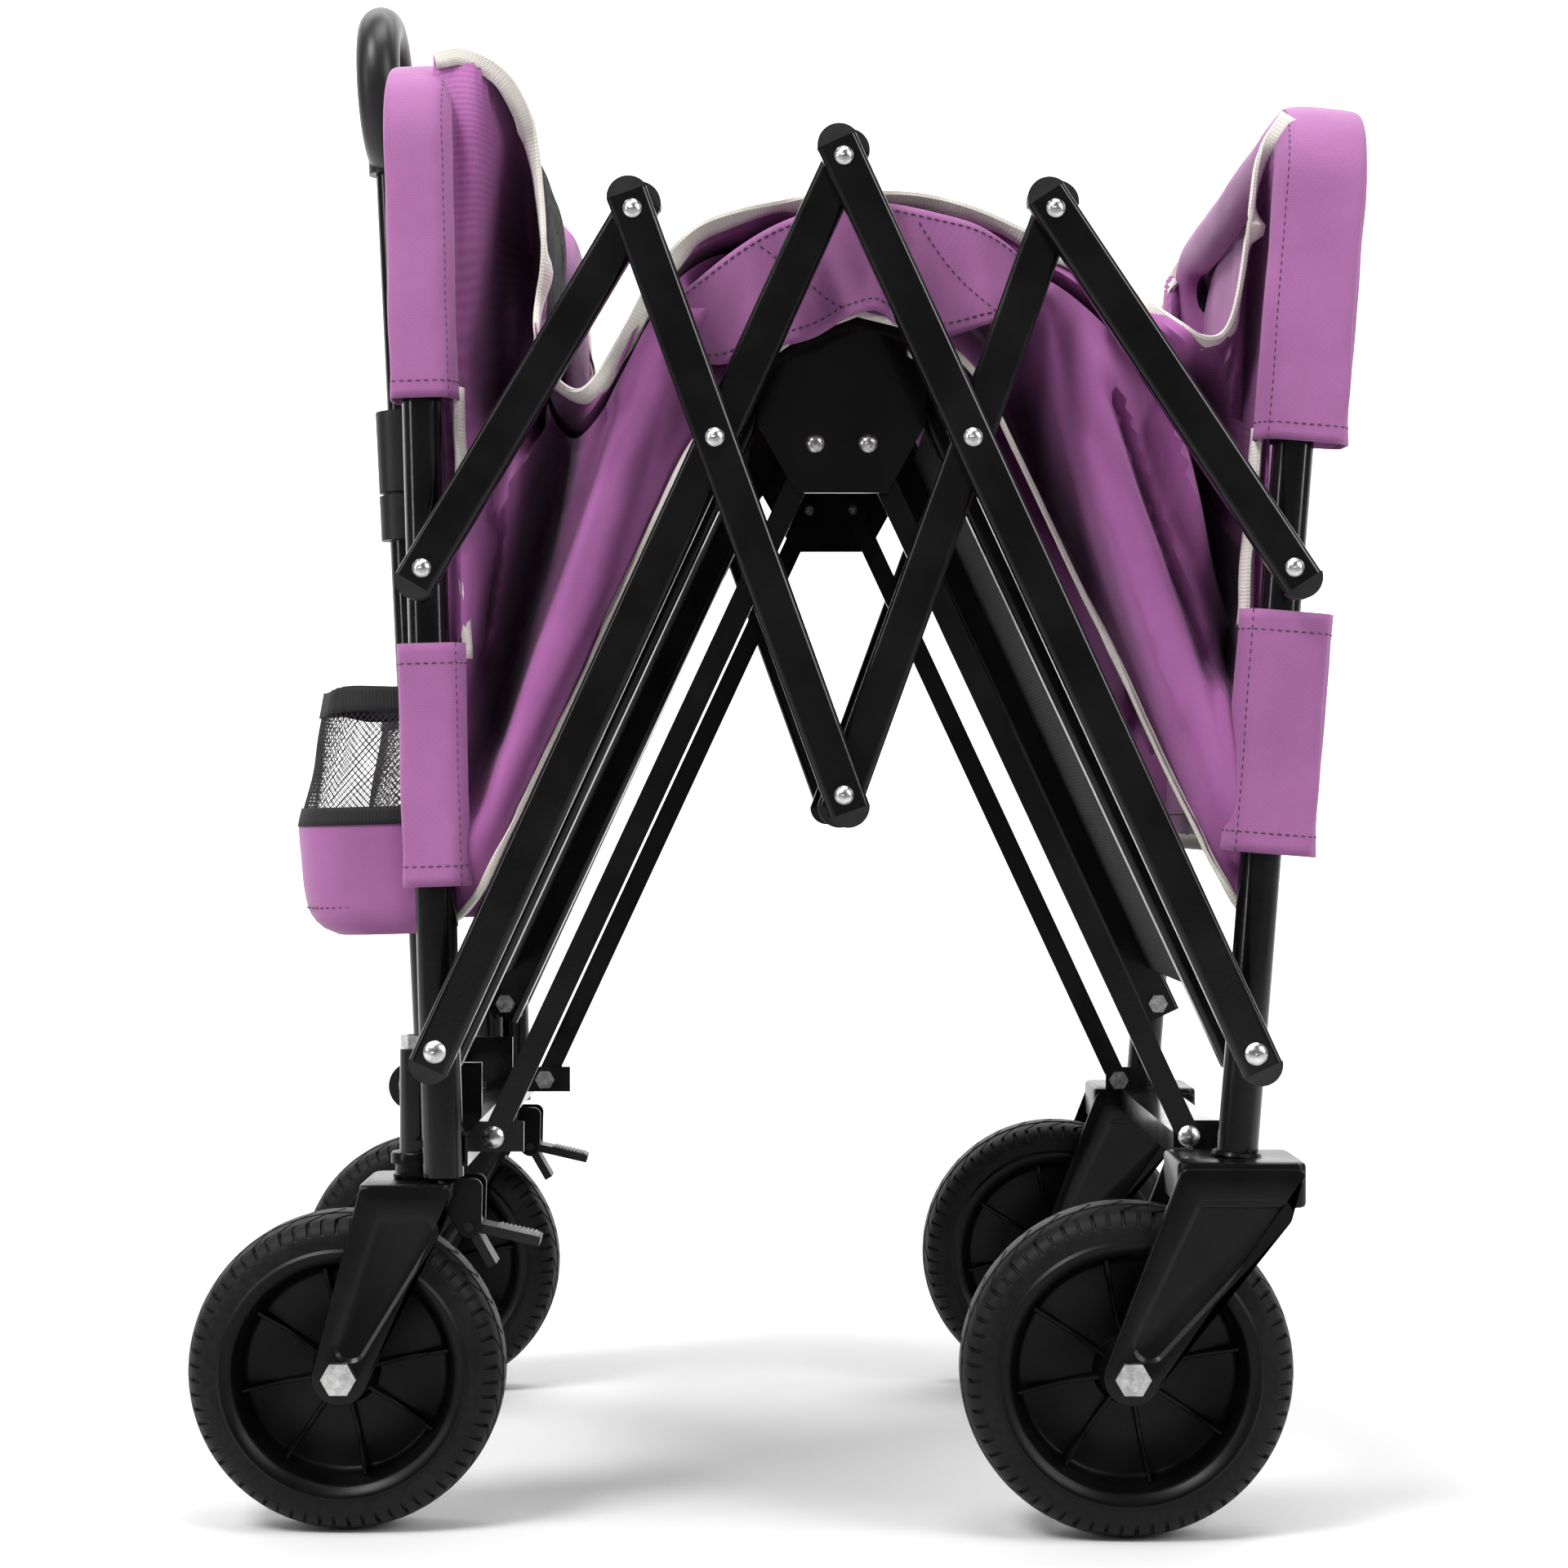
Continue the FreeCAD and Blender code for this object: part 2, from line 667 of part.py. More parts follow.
CASTER_X = MIDDLE + size("caster_x")
sockets = []
for side, sign in SIDES:
    y = sign * size("caster_y")
    bottom = size("socket_bottom")
    tube = cylinder(
        f"socket_{side}_tube",
        "sizes.socket_radius",
        "sizes.socket_top - sizes.socket_bottom",
        (CASTER_X, y, bottom),
        UPRIGHT,
    )
    gusset_places = (bottom + 3, size("socket_top") - 9)
    gussets = [
        box(f"socket_{side}_gusset{index}", "22", "26", "4", (CASTER_X, y - 13 + 7 * sign, z))
        for index, z in enumerate(gusset_places)
    ]
    bore = cylinder(
        f"socket_{side}_bore",
        "sizes.socket_bore",
        "sizes.socket_top - sizes.socket_bottom + 2",
        (CASTER_X, y, bottom - 1),
        UPRIGHT,
    )
    cope = upright_tools(f"socket_cope_{side}", FRONT_FOOT, FRONT_LEAN)
    cross = box(
        f"socket_{side}_clear",
        "sizes.cross_member_x",
        "2 * sizes.side_y",
        "sizes.cross_member_z",
        front_cross_at,
    )
    solid = joined(f"socket_{side}_solid", [tube] + gussets)
    sockets.append(less(f"socket_{side}", solid, [bore, cross] + cope))
finish(group("socket_pair", sockets), "caster_sockets")

# ---- wheels, forks and brakes ----


def sketch_on(body, role, name):
    """A sketch on one of the body's own origin planes."""
    sketch = body.newObject("Sketcher::SketchObject", name)
    plane = next(feature for feature in body.Origin.OriginFeatures if feature.Role == role)
    sketch.AttachmentSupport = [(plane, "")]
    sketch.MapMode = "FlatFace"
    return sketch


def tyre(label, radius):
    """A foam-filled tyre, turned from a section with a crowned tread; its axle is the local Z axis."""
    body = doc.addObject("PartDesign::Body", label + "_body")
    sketch = sketch_on(body, "XZ_Plane", label + "_section")
    outer = size(radius)
    inner = outer - size("tyre_depth")
    shoulder = outer - size("shoulder_drop")
    half = size("wheel_width") / 2
    crown = ((shoulder - outer) ** 2 + half**2) / (2 * size("shoulder_drop"))
    centre = vector(outer - crown, 0, 0)
    sweep = math.asin(half / crown)
    line = Part.LineSegment
    sketch.addGeometry(line(vector(inner, -half, 0), vector(shoulder, -half, 0)))
    sketch.addGeometry(Part.ArcOfCircle(Part.Circle(centre, Z_AXIS, crown), -sweep, sweep))
    sketch.addGeometry(line(vector(shoulder, half, 0), vector(inner, half, 0)))
    sketch.addGeometry(line(vector(inner, half, 0), vector(inner, -half, 0)))
    rule = Sketcher.Constraint
    for first, first_end, second, second_end in ((0, 2, 1, 1), (1, 2, 2, 1), (2, 2, 3, 1), (3, 2, 0, 1)):
        sketch.addConstraint(rule("Coincident", first, first_end, second, second_end))
    sketch.addConstraint(rule("Horizontal", 0))
    sketch.addConstraint(rule("Horizontal", 2))
    sketch.addConstraint(rule("Vertical", 3))
    sketch.addConstraint(rule("PointOnObject", 1, 3, -1))
    driven = (
        (rule("DistanceX", -1, 1, 0, 1, inner), f"sizes.{radius} - sizes.tyre_depth"),
        (rule("DistanceX", -1, 1, 0, 2, shoulder), f"sizes.{radius} - sizes.shoulder_drop"),
        (rule("DistanceY", 0, 1, -1, 1, half), "sizes.wheel_width / 2"),
        (rule("DistanceY", 3, 2, 3, 1, 2 * half), "sizes.wheel_width"),
    )
    for constraint, expression in driven:
        index = sketch.addConstraint(constraint)
        sketch.setExpression(f"Constraints[{index}]", expression)
    radius_rule = sketch.addConstraint(rule("Radius", 1, crown))
    sketch.setExpression(
        f"Constraints[{radius_rule}]",
        "(sizes.shoulder_drop^2 + (sizes.wheel_width / 2)^2) / (2 * sizes.shoulder_drop)",
    )
    turned = body.newObject("PartDesign::Revolution", label + "_turned")
    turned.Profile = sketch
    turned.ReferenceAxis = (sketch, ["V_Axis"])
    turned.Angle = 360
    return body


RIBS = 8


def rim(label, radius):
    """A moulded wheel: barrel, web, hub and ribs on both faces; its axle is the local Z axis."""
    barrel_radius = f"(sizes.{radius} - sizes.tyre_depth)"
    half = size("wheel_width") / 2
    upright = {"turn": UPRIGHT}
    barrel = cylinder(label + "_barrel", barrel_radius, "sizes.wheel_width", (0, 0, -half), **upright)
    hollow = cylinder(
        label + "_hollow",
        f"{barrel_radius} - sizes.rim_wall",
        "sizes.wheel_width + 2",
        (0, 0, -half - 1),
        **upright,
    )
    ring = less(label + "_ring", barrel, [hollow])
    web_low = (0, 0, -size("rim_web") / 2)
    web = cylinder(label + "_web", f"{barrel_radius} - 1", "sizes.rim_web", web_low, **upright)
    hub_half = size("leg_gap") - 1
    hub = cylinder(label + "_hub", "sizes.hub_radius", f"2 * {hub_half}", (0, 0, -hub_half), **upright)
    ribs = []
    for index in range(RIBS):
        rib = box(
            f"{label}_rib{index}",
            f"{barrel_radius} - 4",
            "sizes.rib_depth",
            "2 * (sizes.rib_rise + sizes.rim_web / 2)",
        )
        turn = FreeCAD.Rotation(Z_AXIS, 360 / RIBS * index)
        corner = turn.multVec(vector(0, -size("rib_depth") / 2, 0))
        ribs.append(put(rib, corner.x, corner.y, -size("rib_rise") - size("rim_web") / 2, turn))
    bore = cylinder(
        label + "_bore",
        "sizes.axle_radius + sizes.rivet_clearance",
        f"2 * {hub_half} + 2",
        (0, 0, -hub_half - 1),
        **upright,
    )
    return less(label + "_whole", joined(label + "_solid", [ring, web, hub] + ribs), [bore])


WEDGE_UP = FreeCAD.Rotation(X_AXIS, 90)


def leg(name, top_half, top_shift, height):
    """One fork leg: a plate that tapers from the crown to a round end at the axle, which is its origin."""
    plate = made(
        "Part::Wedge",
        name + "_plate",
        Xmin="-sizes.leg_end_radius",
        Xmax="sizes.leg_end_radius",
        Ymax=str(height),
        X2min=f"{top_shift} - ({top_half})",
        X2max=f"{top_shift} + {top_half}",
        Zmax="sizes.leg_depth",
        Z2max="sizes.leg_depth",
    )
    for prop in ("Ymin", "Zmin", "Z2min"):
        setattr(plate, prop, 0)
    put(plate, turn=WEDGE_UP)
    toe = cylinder(name + "_toe", "sizes.leg_end_radius", "sizes.leg_depth", (0, -size("leg_depth"), 0))
    return joined(name, [plate, toe])


def fork(name, axle, crown_x, crown_length, crown_top, crown_depth, y):
    """Two legs under a crown plate, around a wheel in the plane Y = y."""
    height = size(crown_top) - axle[1]
    pieces = []
    for index, leg_y in enumerate((y - size("leg_gap"), y + size("leg_gap") + size("leg_depth"))):
        shape = leg(f"{name}_leg{index}", f"sizes.{crown_length} / 2", crown_x - axle[0], height)
        pieces.append(put(group(f"{name}_leg{index}_placed", [shape]), axle[0], leg_y, axle[1]))
    half_y = size("leg_gap") + size("leg_depth")
    pieces.append(
        box(
            name + "_crown",
            f"sizes.{crown_length}",
            "2 * (sizes.leg_gap + sizes.leg_depth)",
            f"sizes.{crown_depth}",
            (crown_x - size(crown_length) / 2, y - half_y, size(crown_top) - size(crown_depth)),
        )
    )
    bore = cylinder(
        name + "_bore",
        "sizes.axle_radius + sizes.rivet_clearance",
        "2 * (sizes.leg_gap + sizes.leg_depth) + 4",
        (axle[0], y - half_y - 2, axle[1]),
    )
    return pieces, bore


def axle_bolt(name, axle, y):
    """The axle with a hex nut outside and a hex head inside."""
    half_y = size("leg_gap") + size("leg_depth")
    pieces = [
        cylinder(name + "_rod", "sizes.axle_radius", f"2 * {half_y}", (axle[0], y - half_y, axle[1])),
        hexagon(name + "_nut", "9.5", "6", (axle[0], y - half_y - 6, axle[1])),
        hexagon(name + "_head", "9.5", "6", (axle[0], y + half_y, axle[1])),
    ]
    return joined(name, pieces)


FRONT_AXLE = (CASTER_X - size("caster_trail"), size("front_wheel_radius"))
REAR_AXLE = (MIDDLE + size("rear_axle_x"), size("rear_wheel_radius"))
PEDAL_PIVOT = (CASTER_X + 29, 163)
EAR_GAP = 10.2
EAR_DEPTH = 3
for side, sign in SIDES:
    y = sign * size("caster_y")
    crown_x = CASTER_X + size("front_crown_centre")
    pieces, bore = fork(
        f"caster_fork_{side}", FRONT_AXLE, crown_x, "front_crown_length", "crown_top", "crown_depth", y
    )
    stem_top = size("socket_top") + 9
    pieces.append(
        cylinder(
            f"caster_{side}_stem",
            "sizes.stem_radius",
            f"{stem_top} - sizes.crown_top + 1",
            (CASTER_X, y, size("crown_top") - 1),
            UPRIGHT,
        )
    )
    collar_height = size("socket_bottom") - size("crown_top") - 0.4
    pieces.append(
        cylinder(f"caster_{side}_race", "12", str(collar_height), (CASTER_X, y, size("crown_top")), UPRIGHT)
    )
    for index, ear_y in enumerate((y - EAR_GAP - EAR_DEPTH, y + EAR_GAP)):
        ear = box(
            f"caster_{side}_ear{index}",
            "16",
            str(EAR_DEPTH),
            f"sizes.crown_top - {PEDAL_PIVOT[1]}",
            (PEDAL_PIVOT[0] - 13, ear_y, PEDAL_PIVOT[1]),
        )
        eye_place = (PEDAL_PIVOT[0], ear_y, PEDAL_PIVOT[1])
        eye = cylinder(f"caster_{side}_eye{index}", "6", str(EAR_DEPTH), eye_place)
        pieces += [ear, eye]
    pin_hole = cylinder(
        f"caster_{side}_pin_hole", "2.55", "40", (PEDAL_PIVOT[0], y - 20, PEDAL_PIVOT[1])
    )
    whole = less(f"caster_fork_{side}_cut", joined(f"caster_fork_{side}_solid", pieces), [bore, pin_hole])
    finish(whole, f"caster_fork_{side}")
    stem_nut_base = size("socket_top") + 0.4
    nut = less(
        f"caster_{side}_stem_nut",
        hexagon(f"caster_{side}_nut_solid", "9.5", "7", (CASTER_X, y, stem_nut_base), UPRIGHT),
        [
            cylinder(
                f"caster_{side}_nut_bore", "sizes.stem_radius", "12", (CASTER_X, y, stem_nut_base - 2), UPRIGHT
            )
        ],
    )
    finish(
        group(f"caster_{side}_fasteners", [axle_bolt(f"caster_{side}_axle", FRONT_AXLE, y), nut]),
        f"caster_fasteners_{side}",
    )
    axle = (FRONT_AXLE[0], y, FRONT_AXLE[1])
    finish(tyre(f"front_tyre_{side}", "front_wheel_radius"), f"front_tyre_{side}", axle, ALONG_Y)
    finish(rim(f"front_rim_{side}", "front_wheel_radius"), f"front_rim_{side}", axle, ALONG_Y)

    half = size("pedal_width") / 2
    pedal_pieces = [
        cylinder(f"pedal_{side}_hub", "6", "sizes.pedal_width", (PEDAL_PIVOT[0], y - half, PEDAL_PIVOT[1])),
        cylinder(f"pedal_{side}_pin", "2.5", "29", (PEDAL_PIVOT[0], y - 14.5, PEDAL_PIVOT[1])),
    ]
    tread = box(f"pedal_{side}_tread", "sizes.pedal_length", "sizes.pedal_width", "sizes.pedal_depth")
    pedal_pieces.append(put(tread, PEDAL_PIVOT[0], y - half, PEDAL_PIVOT[1] - 2.5, swing(-13)))
    shoe = box(f"pedal_{side}_shoe", "sizes.pedal_shoe", "sizes.pedal_width", "sizes.pedal_depth")
    pedal_pieces.append(put(shoe, PEDAL_PIVOT[0] - 2, y - half, PEDAL_PIVOT[1] - 2, swing(-60)))
    finish(joined(f"pedal_{side}", pedal_pieces), f"brake_pedal_{side}")

    y = sign * SIDE_Y
    crown_x = MIDDLE + size("rear_crown_centre")
    pieces, bore = fork(
        f"rear_fork_{side}", REAR_AXLE, crown_x, "rear_crown_length", "rear_crown_top", "rear_crown_drop", y
    )
    wheel_room = cylinder(
        f"rear_fork_{side}_room",
        "sizes.rear_wheel_radius + 4",
        "2 * sizes.leg_gap",
        (REAR_AXLE[0], y - size("leg_gap"), REAR_AXLE[1]),
    )
    whole = less(f"rear_fork_{side}_cut", joined(f"rear_fork_{side}_solid", pieces), [bore, wheel_room])
    finish(whole, f"rear_fork_{side}")
    axle = (REAR_AXLE[0], y, REAR_AXLE[1])
    finish(tyre(f"rear_tyre_{side}", "rear_wheel_radius"), f"rear_tyre_{side}", axle, ALONG_Y)
    finish(rim(f"rear_rim_{side}", "rear_wheel_radius"), f"rear_rim_{side}", axle, ALONG_Y)
finish(
    group("rear_axle_pair", [axle_bolt(f"rear_axle_{side}", REAR_AXLE, sign * SIDE_Y) for side, sign in SIDES]),
    "rear_axles",
)

# ---- rear cross member between the forks, with its strap lugs ----

REAR_CROWN_X = MIDDLE + size("rear_crown_centre")
REAR_CROSS_HALF = SIDE_Y - size("leg_gap") - size("leg_depth")
rear_cross_at = (
    REAR_CROWN_X - size("rear_cross_x") / 2,
    -REAR_CROSS_HALF,
    size("rear_crown_top") - size("rear_cross_z"),
)
outer, inner = rectangular_tube(
    "rear_cross",
    "sizes.rear_cross_x",
    "2 * (sizes.side_y - sizes.leg_gap - sizes.leg_depth)",
    "sizes.rear_cross_z",
    "cross_member_wall",
    rear_cross_at,
)
rear_cross = less("rear_cross_cut", outer, [inner])
rear_lugs = lugs(
    "rear_strap_lug",
    REAR_LUG,
    "rear_strap_y",
    REAR_LUG[0] - size("lug_height") / 2,
    size("rear_crown_top"),
    "sizes.lug_length",
    "sizes.lug_height - 1.5",
)
finish(joined("rear_cross_welded", [rear_cross] + rear_lugs), "rear_cross_member")

# ---- folding floor: rails, straps, hub plates and boards ----

RAIL = ("sizes.rail_length",)


def rail_set(label, point, degrees):
    """A floor rail on each side, as one node."""
    section = ("sizes.rail_depth", "sizes.rail_width", "sizes.rail_wall")
    piece = bar(label + "_tube", RAIL[0], ["0", RAIL[0]], *section)
    left = group(label + "_left_side", [piece])
    left.Placement = FreeCAD.Placement(
        vector(point[0], -size("rail_y") - size("rail_depth"), point[1]),
        swing(degrees),
    )
    finish(group(label + "_pair", [left, mirrored(label + "_right_side", left)]), label)


def strap_set(label, point, degrees, strap_y):
    """A flat strap with round ends on each side, as one node. It runs parallel to the rail and as long."""
    plate = box(label + "_plate", "sizes.rail_length", "sizes.strap_depth", "sizes.strap_width")
    plate.setExpression("Placement.Base.z", "-sizes.strap_width / 2")
    near = cylinder(label + "_near", "sizes.strap_width / 2", "sizes.strap_depth")
    far = cylinder(label + "_far", "sizes.strap_width / 2", "sizes.strap_depth")
    far.setExpression("Placement.Base.x", "sizes.rail_length")
    drills = []
    for index, distance in enumerate(("0", "sizes.rail_length")):
        drill = cylinder(
            f"{label}_bore{index}",
            "sizes.rivet_radius + sizes.rivet_clearance",
            "sizes.strap_depth + 2",
            (0, -1, 0),
        )
        drill.setExpression("Placement.Base.x", distance)
        drills.append(drill)
    left = less(label + "_left_side", joined(label + "_solid", [plate, near, far]), drills)
    left.Placement = FreeCAD.Placement(
        vector(point[0], -size(strap_y) - size("strap_depth"), point[1]),
        swing(degrees),
    )
    finish(group(label + "_pair", [left, mirrored(label + "_right_side", left)]), label)


def floor_board(label, point, degrees, below):
    """A stiff floor panel between the two rails, just under the faces that end uppermost."""
    board = box(label, "sizes.board_length", "2 * sizes.board_half_width", "sizes.board_depth")
    turn = swing(degrees)
    corner = turn.multVec(vector((size("rail_length") - size("board_length")) / 2, 0, below))
    return finish(
        board,
        label,
        (point[0] + corner.x, -size("board_half_width"), point[1] + corner.z),
        turn,
    )


rail_set("floor_rails_front", FRONT_FOOT, RAIL_ANGLE)
strap_set("floor_straps_front", FRONT_LUG, RAIL_ANGLE, "front_strap_y")
floor_board("floor_board_front", FRONT_FOOT, RAIL_ANGLE, 5)

# the rear rails and straps run from the rear foot back towards the middle

rail_set("floor_rails_rear", REAR_FOOT, 180 - RAIL_ANGLE)
strap_set("floor_straps_rear", REAR_LUG, 180 - RAIL_ANGLE, "rear_strap_y")
floor_board("floor_board_rear", REAR_FOOT, 180 - RAIL_ANGLE, -5 - size("board_depth"))

FRONT_STRAP_TOP = along(FRONT_LUG, RAIL_ANGLE, size("rail_length"))
REAR_STRAP_TOP = across(FRONT_STRAP_TOP)
HUB_OUTER = size("hub_plate_y") + size("hub_plate_depth")


def hub_plate(name):
    """The octagon-like plate that joins the rails and straps, on the left side, with its corners cut off."""
    half_width = size("hub_half_width")
    low_z = FRONT_STRAP_TOP[1] - size("hub_drop")
    plate = box(
        name + "_plate",
        "2 * sizes.hub_half_width",
        "sizes.hub_plate_depth",
        "sizes.hub_height",
        (MIDDLE - half_width, -HUB_OUTER, low_z),
    )
    tools = []
    chamfer = size("hub_high_chamfer")
    steep = math.degrees(math.atan2(size("hub_low_height"), size("hub_low_width")))
    corners = (
        (size("hub_low_width") - half_width, 0, 180 - steep),
        (half_width, size("hub_low_height"), 180 + steep),
        (half_width - chamfer, size("hub_height"), -45),
        (-half_width, size("hub_height") - chamfer, 45),
    )
    cut_length = "hypot(sizes.hub_low_width; sizes.hub_low_height) + 5"
    for index, (x, z, degrees) in enumerate(corners):
        cutter = box(f"{name}_corner{index}", cut_length, "10", "30")
        put(cutter, MIDDLE + x, -HUB_OUTER - 2, low_z + z, swing(degrees))
        tools.append(cutter)
    for index, point in enumerate((REAR_HUB_PIVOT, REAR_STRAP_TOP, FRONT_STRAP_TOP, FRONT_HUB_PIVOT)):
        tools.append(
            cylinder(f"{name}_hole{index}", "sizes.rivet_radius", "10", (point[0], -HUB_OUTER - 2, point[1]))
        )
    return less(name, plate, tools)


left_hub = hub_plate("hub_left")
finish(group("hub_pair", [left_hub, mirrored("hub_right", left_hub)]), "hub_plates")
HUB_DEPTH = size("hub_plate_depth")
RAIL_REACH = HUB_OUTER - size("rail_y")
fastener_set(
    "hub_rivets",
    [
        rivet("front_rail_rivet", FRONT_HUB_PIVOT, HUB_OUTER, RAIL_REACH),
        rivet("rear_rail_rivet", REAR_HUB_PIVOT, HUB_OUTER, HUB_DEPTH, tail=False),
        rivet("front_strap_rivet", FRONT_STRAP_TOP, HUB_OUTER, HUB_DEPTH, tail=False),
        rivet("rear_strap_rivet", REAR_STRAP_TOP, HUB_OUTER, HUB_DEPTH, tail=False),
    ],
)

# ---- pull handle: axis from the pivot, leaning outward ----

HANDLE_TURN = swing(size("handle_lean"))
HANDLE_BASE = (HANDLE_PIVOT[0], 0, HANDLE_PIVOT[1])
ROD_HALF = size("handle_bracket_y") + 1.5
rod = cylinder("pivot_rod_shaft", "sizes.axle_radius", f"2 * {ROD_HALF}", (0, -ROD_HALF, 0))
rod_heads = [
    cylinder("pivot_rod_head_left", "8", "3", (0, -ROD_HALF - 3, 0)),
    cylinder("pivot_rod_head_right", "8", "3", (0, ROD_HALF, 0)),
]
finish(joined("pivot_rod", [rod] + rod_heads), "handle_pivot_rod", HANDLE_BASE)

CROSS_HALF = size("handle_bracket_y") - 1.5 - 0.5
cross_tube = cylinder("handle_cross", "sizes.cross_tube_radius", f"2 * {CROSS_HALF}", (0, -CROSS_HALF, 0))
stem = cylinder("handle_stem", "sizes.lower_tube_radius", "sizes.lower_tube_length", turn=UPRIGHT)
stem_bore = cylinder(
    "handle_stem_bore",
    "sizes.lower_tube_radius - sizes.tube_wall",
    "sizes.lower_tube_length",
    (0, 0, size("upper_tube_start") - 40),
    UPRIGHT,
)
rod_bore = cylinder(
    "handle_rod_bore",
    "sizes.axle_radius + sizes.rivet_clearance",
    f"2 * {CROSS_HALF} + 2",
    (0, -CROSS_HALF - 1, 0),
)
lower = less("handle_lower", joined("handle_lower_solid", [cross_tube, stem]), [stem_bore, rod_bore])
finish(lower, "handle_lower_tube", HANDLE_BASE, HANDLE_TURN)

START = size("collar_start")
BLOCK = size("collar_block")
collar_outer = joined(
    "collar_outer",
    [
        cylinder("collar_block_outer", "sizes.collar_radius", "sizes.collar_block", (0, 0, START), UPRIGHT),
        cylinder("collar_neck", "sizes.collar_radius - 2.5", "sizes.collar_length", (0, 0, START), UPRIGHT),
        cylinder(
            "collar_barrel",
            "sizes.collar_radius",
            "sizes.collar_length - sizes.collar_block - 2",
            (0, 0, START + BLOCK + 2),
            UPRIGHT,
        ),
    ],
)
collar_bores = [
    cylinder(
        "collar_low_bore",
        "sizes.lower_tube_radius",
        "sizes.lower_tube_length - sizes.collar_start + 1",
        (0, 0, START - 1),
        UPRIGHT,
    ),
    cylinder(
        "collar_high_bore",
        "sizes.upper_tube_radius + sizes.rivet_clearance",
        "sizes.collar_length + 2",
        (0, 0, START - 1),
        UPRIGHT,
    ),
]
finish(less("collar", collar_outer, collar_bores), "handle_collar", HANDLE_BASE, HANDLE_TURN)

UPPER_START = size("upper_tube_start")
upper_outer = cylinder(
    "upper_outer",
    "sizes.upper_tube_radius",
    "sizes.upper_tube_end - sizes.upper_tube_start",
    (0, 0, UPPER_START),
    UPRIGHT,
)
upper_bore = cylinder(
    "upper_bore",
    "sizes.upper_tube_radius - sizes.bar_wall",
    "sizes.upper_tube_end",
    (0, 0, UPPER_START - 1),
    UPRIGHT,
)
finish(less("handle_upper", upper_outer, [upper_bore]), "handle_upper_tube", HANDLE_BASE, HANDLE_TURN)

ring = made("Part::Torus", "grip_ring", Radius1="sizes.grip_ring_radius", Radius2="sizes.grip_radius")
put(ring, 0, 0, size("grip_centre"), ALONG_X)
grip_stem = cylinder(
    "grip_stem",
    "sizes.grip_radius",
    "sizes.grip_stem_length",
    (0, 0, size("grip_centre") - size("grip_ring_radius") - size("grip_stem_length")),
    UPRIGHT,
)
grip_socket = cylinder(
    "grip_socket",
    "sizes.upper_tube_radius",
    "sizes.upper_tube_end - sizes.upper_tube_start",
    (0, 0, UPPER_START),
    UPRIGHT,
)
finish(
    less("grip", joined("grip_solid", [ring, grip_stem]), [grip_socket]),
    "handle_grip",
    HANDLE_BASE,
    HANDLE_TURN,
)

# ---- fabric: covers on the end frames, pockets on the front, and the sides ----


def arch(name, half_x, half_y, low, top, corner):
    """A block standing across the wagon, with its two upper corners rounded like the frame's bends."""
    block = box(name + "_block", f"2 * {half_x}", f"2 * {half_y}", f"{top - low}", (0, 0, low))
    block.setExpression("Placement.Base.x", f"-({half_x})")
    block.setExpression("Placement.Base.y", f"-({half_y})")
    doc.recompute()
    rounded = doc.addObject("Part::Fillet", name)
    rounded.Base = block
    edges = [
        index
        for index, edge in enumerate(block.Shape.Edges, 1)
        if abs(edge.tangentAt(edge.FirstParameter).x) > 0.99 and edge.CenterOfMass.z > top - 1
    ]
    rounded.Edges = [(index, corner, corner) for index in edges]
    return rounded


def cover(label, frame_top, half_x, foot_point, lean, low_band, high_band):
    """A fabric panel in an end frame, with sleeves round the tube above and below the link's screw."""
    half = size("sleeve_half_y")
    top = size(frame_top)
    low = low_band[0]
    outer_y = "(sizes.side_y + sizes.sleeve_half_y)"
    inner_y = "(sizes.side_y - sizes.sleeve_half_y)"
    bend = size("bend_radius")
    outside = arch(label + "_outside", half_x, outer_y, low, top + half, bend + half)
    inside = arch(label + "_inside", f"({half_x} + 1)", inner_y, low - 1, top - half, bend - half)
    window = box(
        label + "_window",
        f"2 * {half_x} + 2",
        "2 * sizes.side_y + 60",
        str(high_band - low_band[1]),
        (0, 0, low_band[1]),
    )
    window.setExpression("Placement.Base.x", f"-({half_x}) - 1")
    window.setExpression("Placement.Base.y", "-sizes.side_y - 30")
    sleeves = less(label + "_sleeves", outside, [inside, window])
    panel = arch(label + "_panel", "sizes.panel_depth / 2", inner_y, low, top - half, bend - half)
    room = bent_bar(label + "_room", "sizes.tube_radius + sizes.sleeve_gap", frame_top, "100")
    whole = less(label + "_whole", joined(label + "_joined", [sleeves, panel]), [room])
    finish(whole, label, (foot_point[0], 0, foot_point[1]), swing(lean))


cover("front_cover", "front_top", "sizes.front_sleeve_half_x", FRONT_FOOT, FRONT_LEAN, (87, 217), 348)
cover("rear_cover", "rear_top", "sizes.rear_sleeve_half_x", REAR_FOOT, REAR_LEAN, (105, 235), 326)

pockets = []
POCKET_BASE = size("pocket_bottom") - FRONT_FOOT[1]
WALL = size("pocket_wall")
for side, sign in SIDES:
    y = size("pocket_inner_y") if sign > 0 else -size("pocket_inner_y") - size("pocket_width")
    corner = vector(-size("panel_depth") / 2 - size("pocket_depth"), y, POCKET_BASE)
    shell = box(
        f"pocket_{side}_outer",
        "sizes.pocket_depth",
        "sizes.pocket_width",
        "sizes.pocket_height",
        tuple(corner),
    )
    room = box(
        f"pocket_{side}_room",
        "sizes.pocket_depth - 2 * sizes.pocket_wall",
        "sizes.pocket_width - 2 * sizes.pocket_wall",
        "sizes.pocket_height",
        tuple(corner + vector(WALL, WALL, WALL)),
    )
    pockets.append(less(f"pocket_{side}", shell, [room]))
finish(
    group("pocket_pair", pockets),
    "front_pockets",
    (FRONT_FOOT[0], 0, FRONT_FOOT[1]),
    swing(FRONT_LEAN),
)

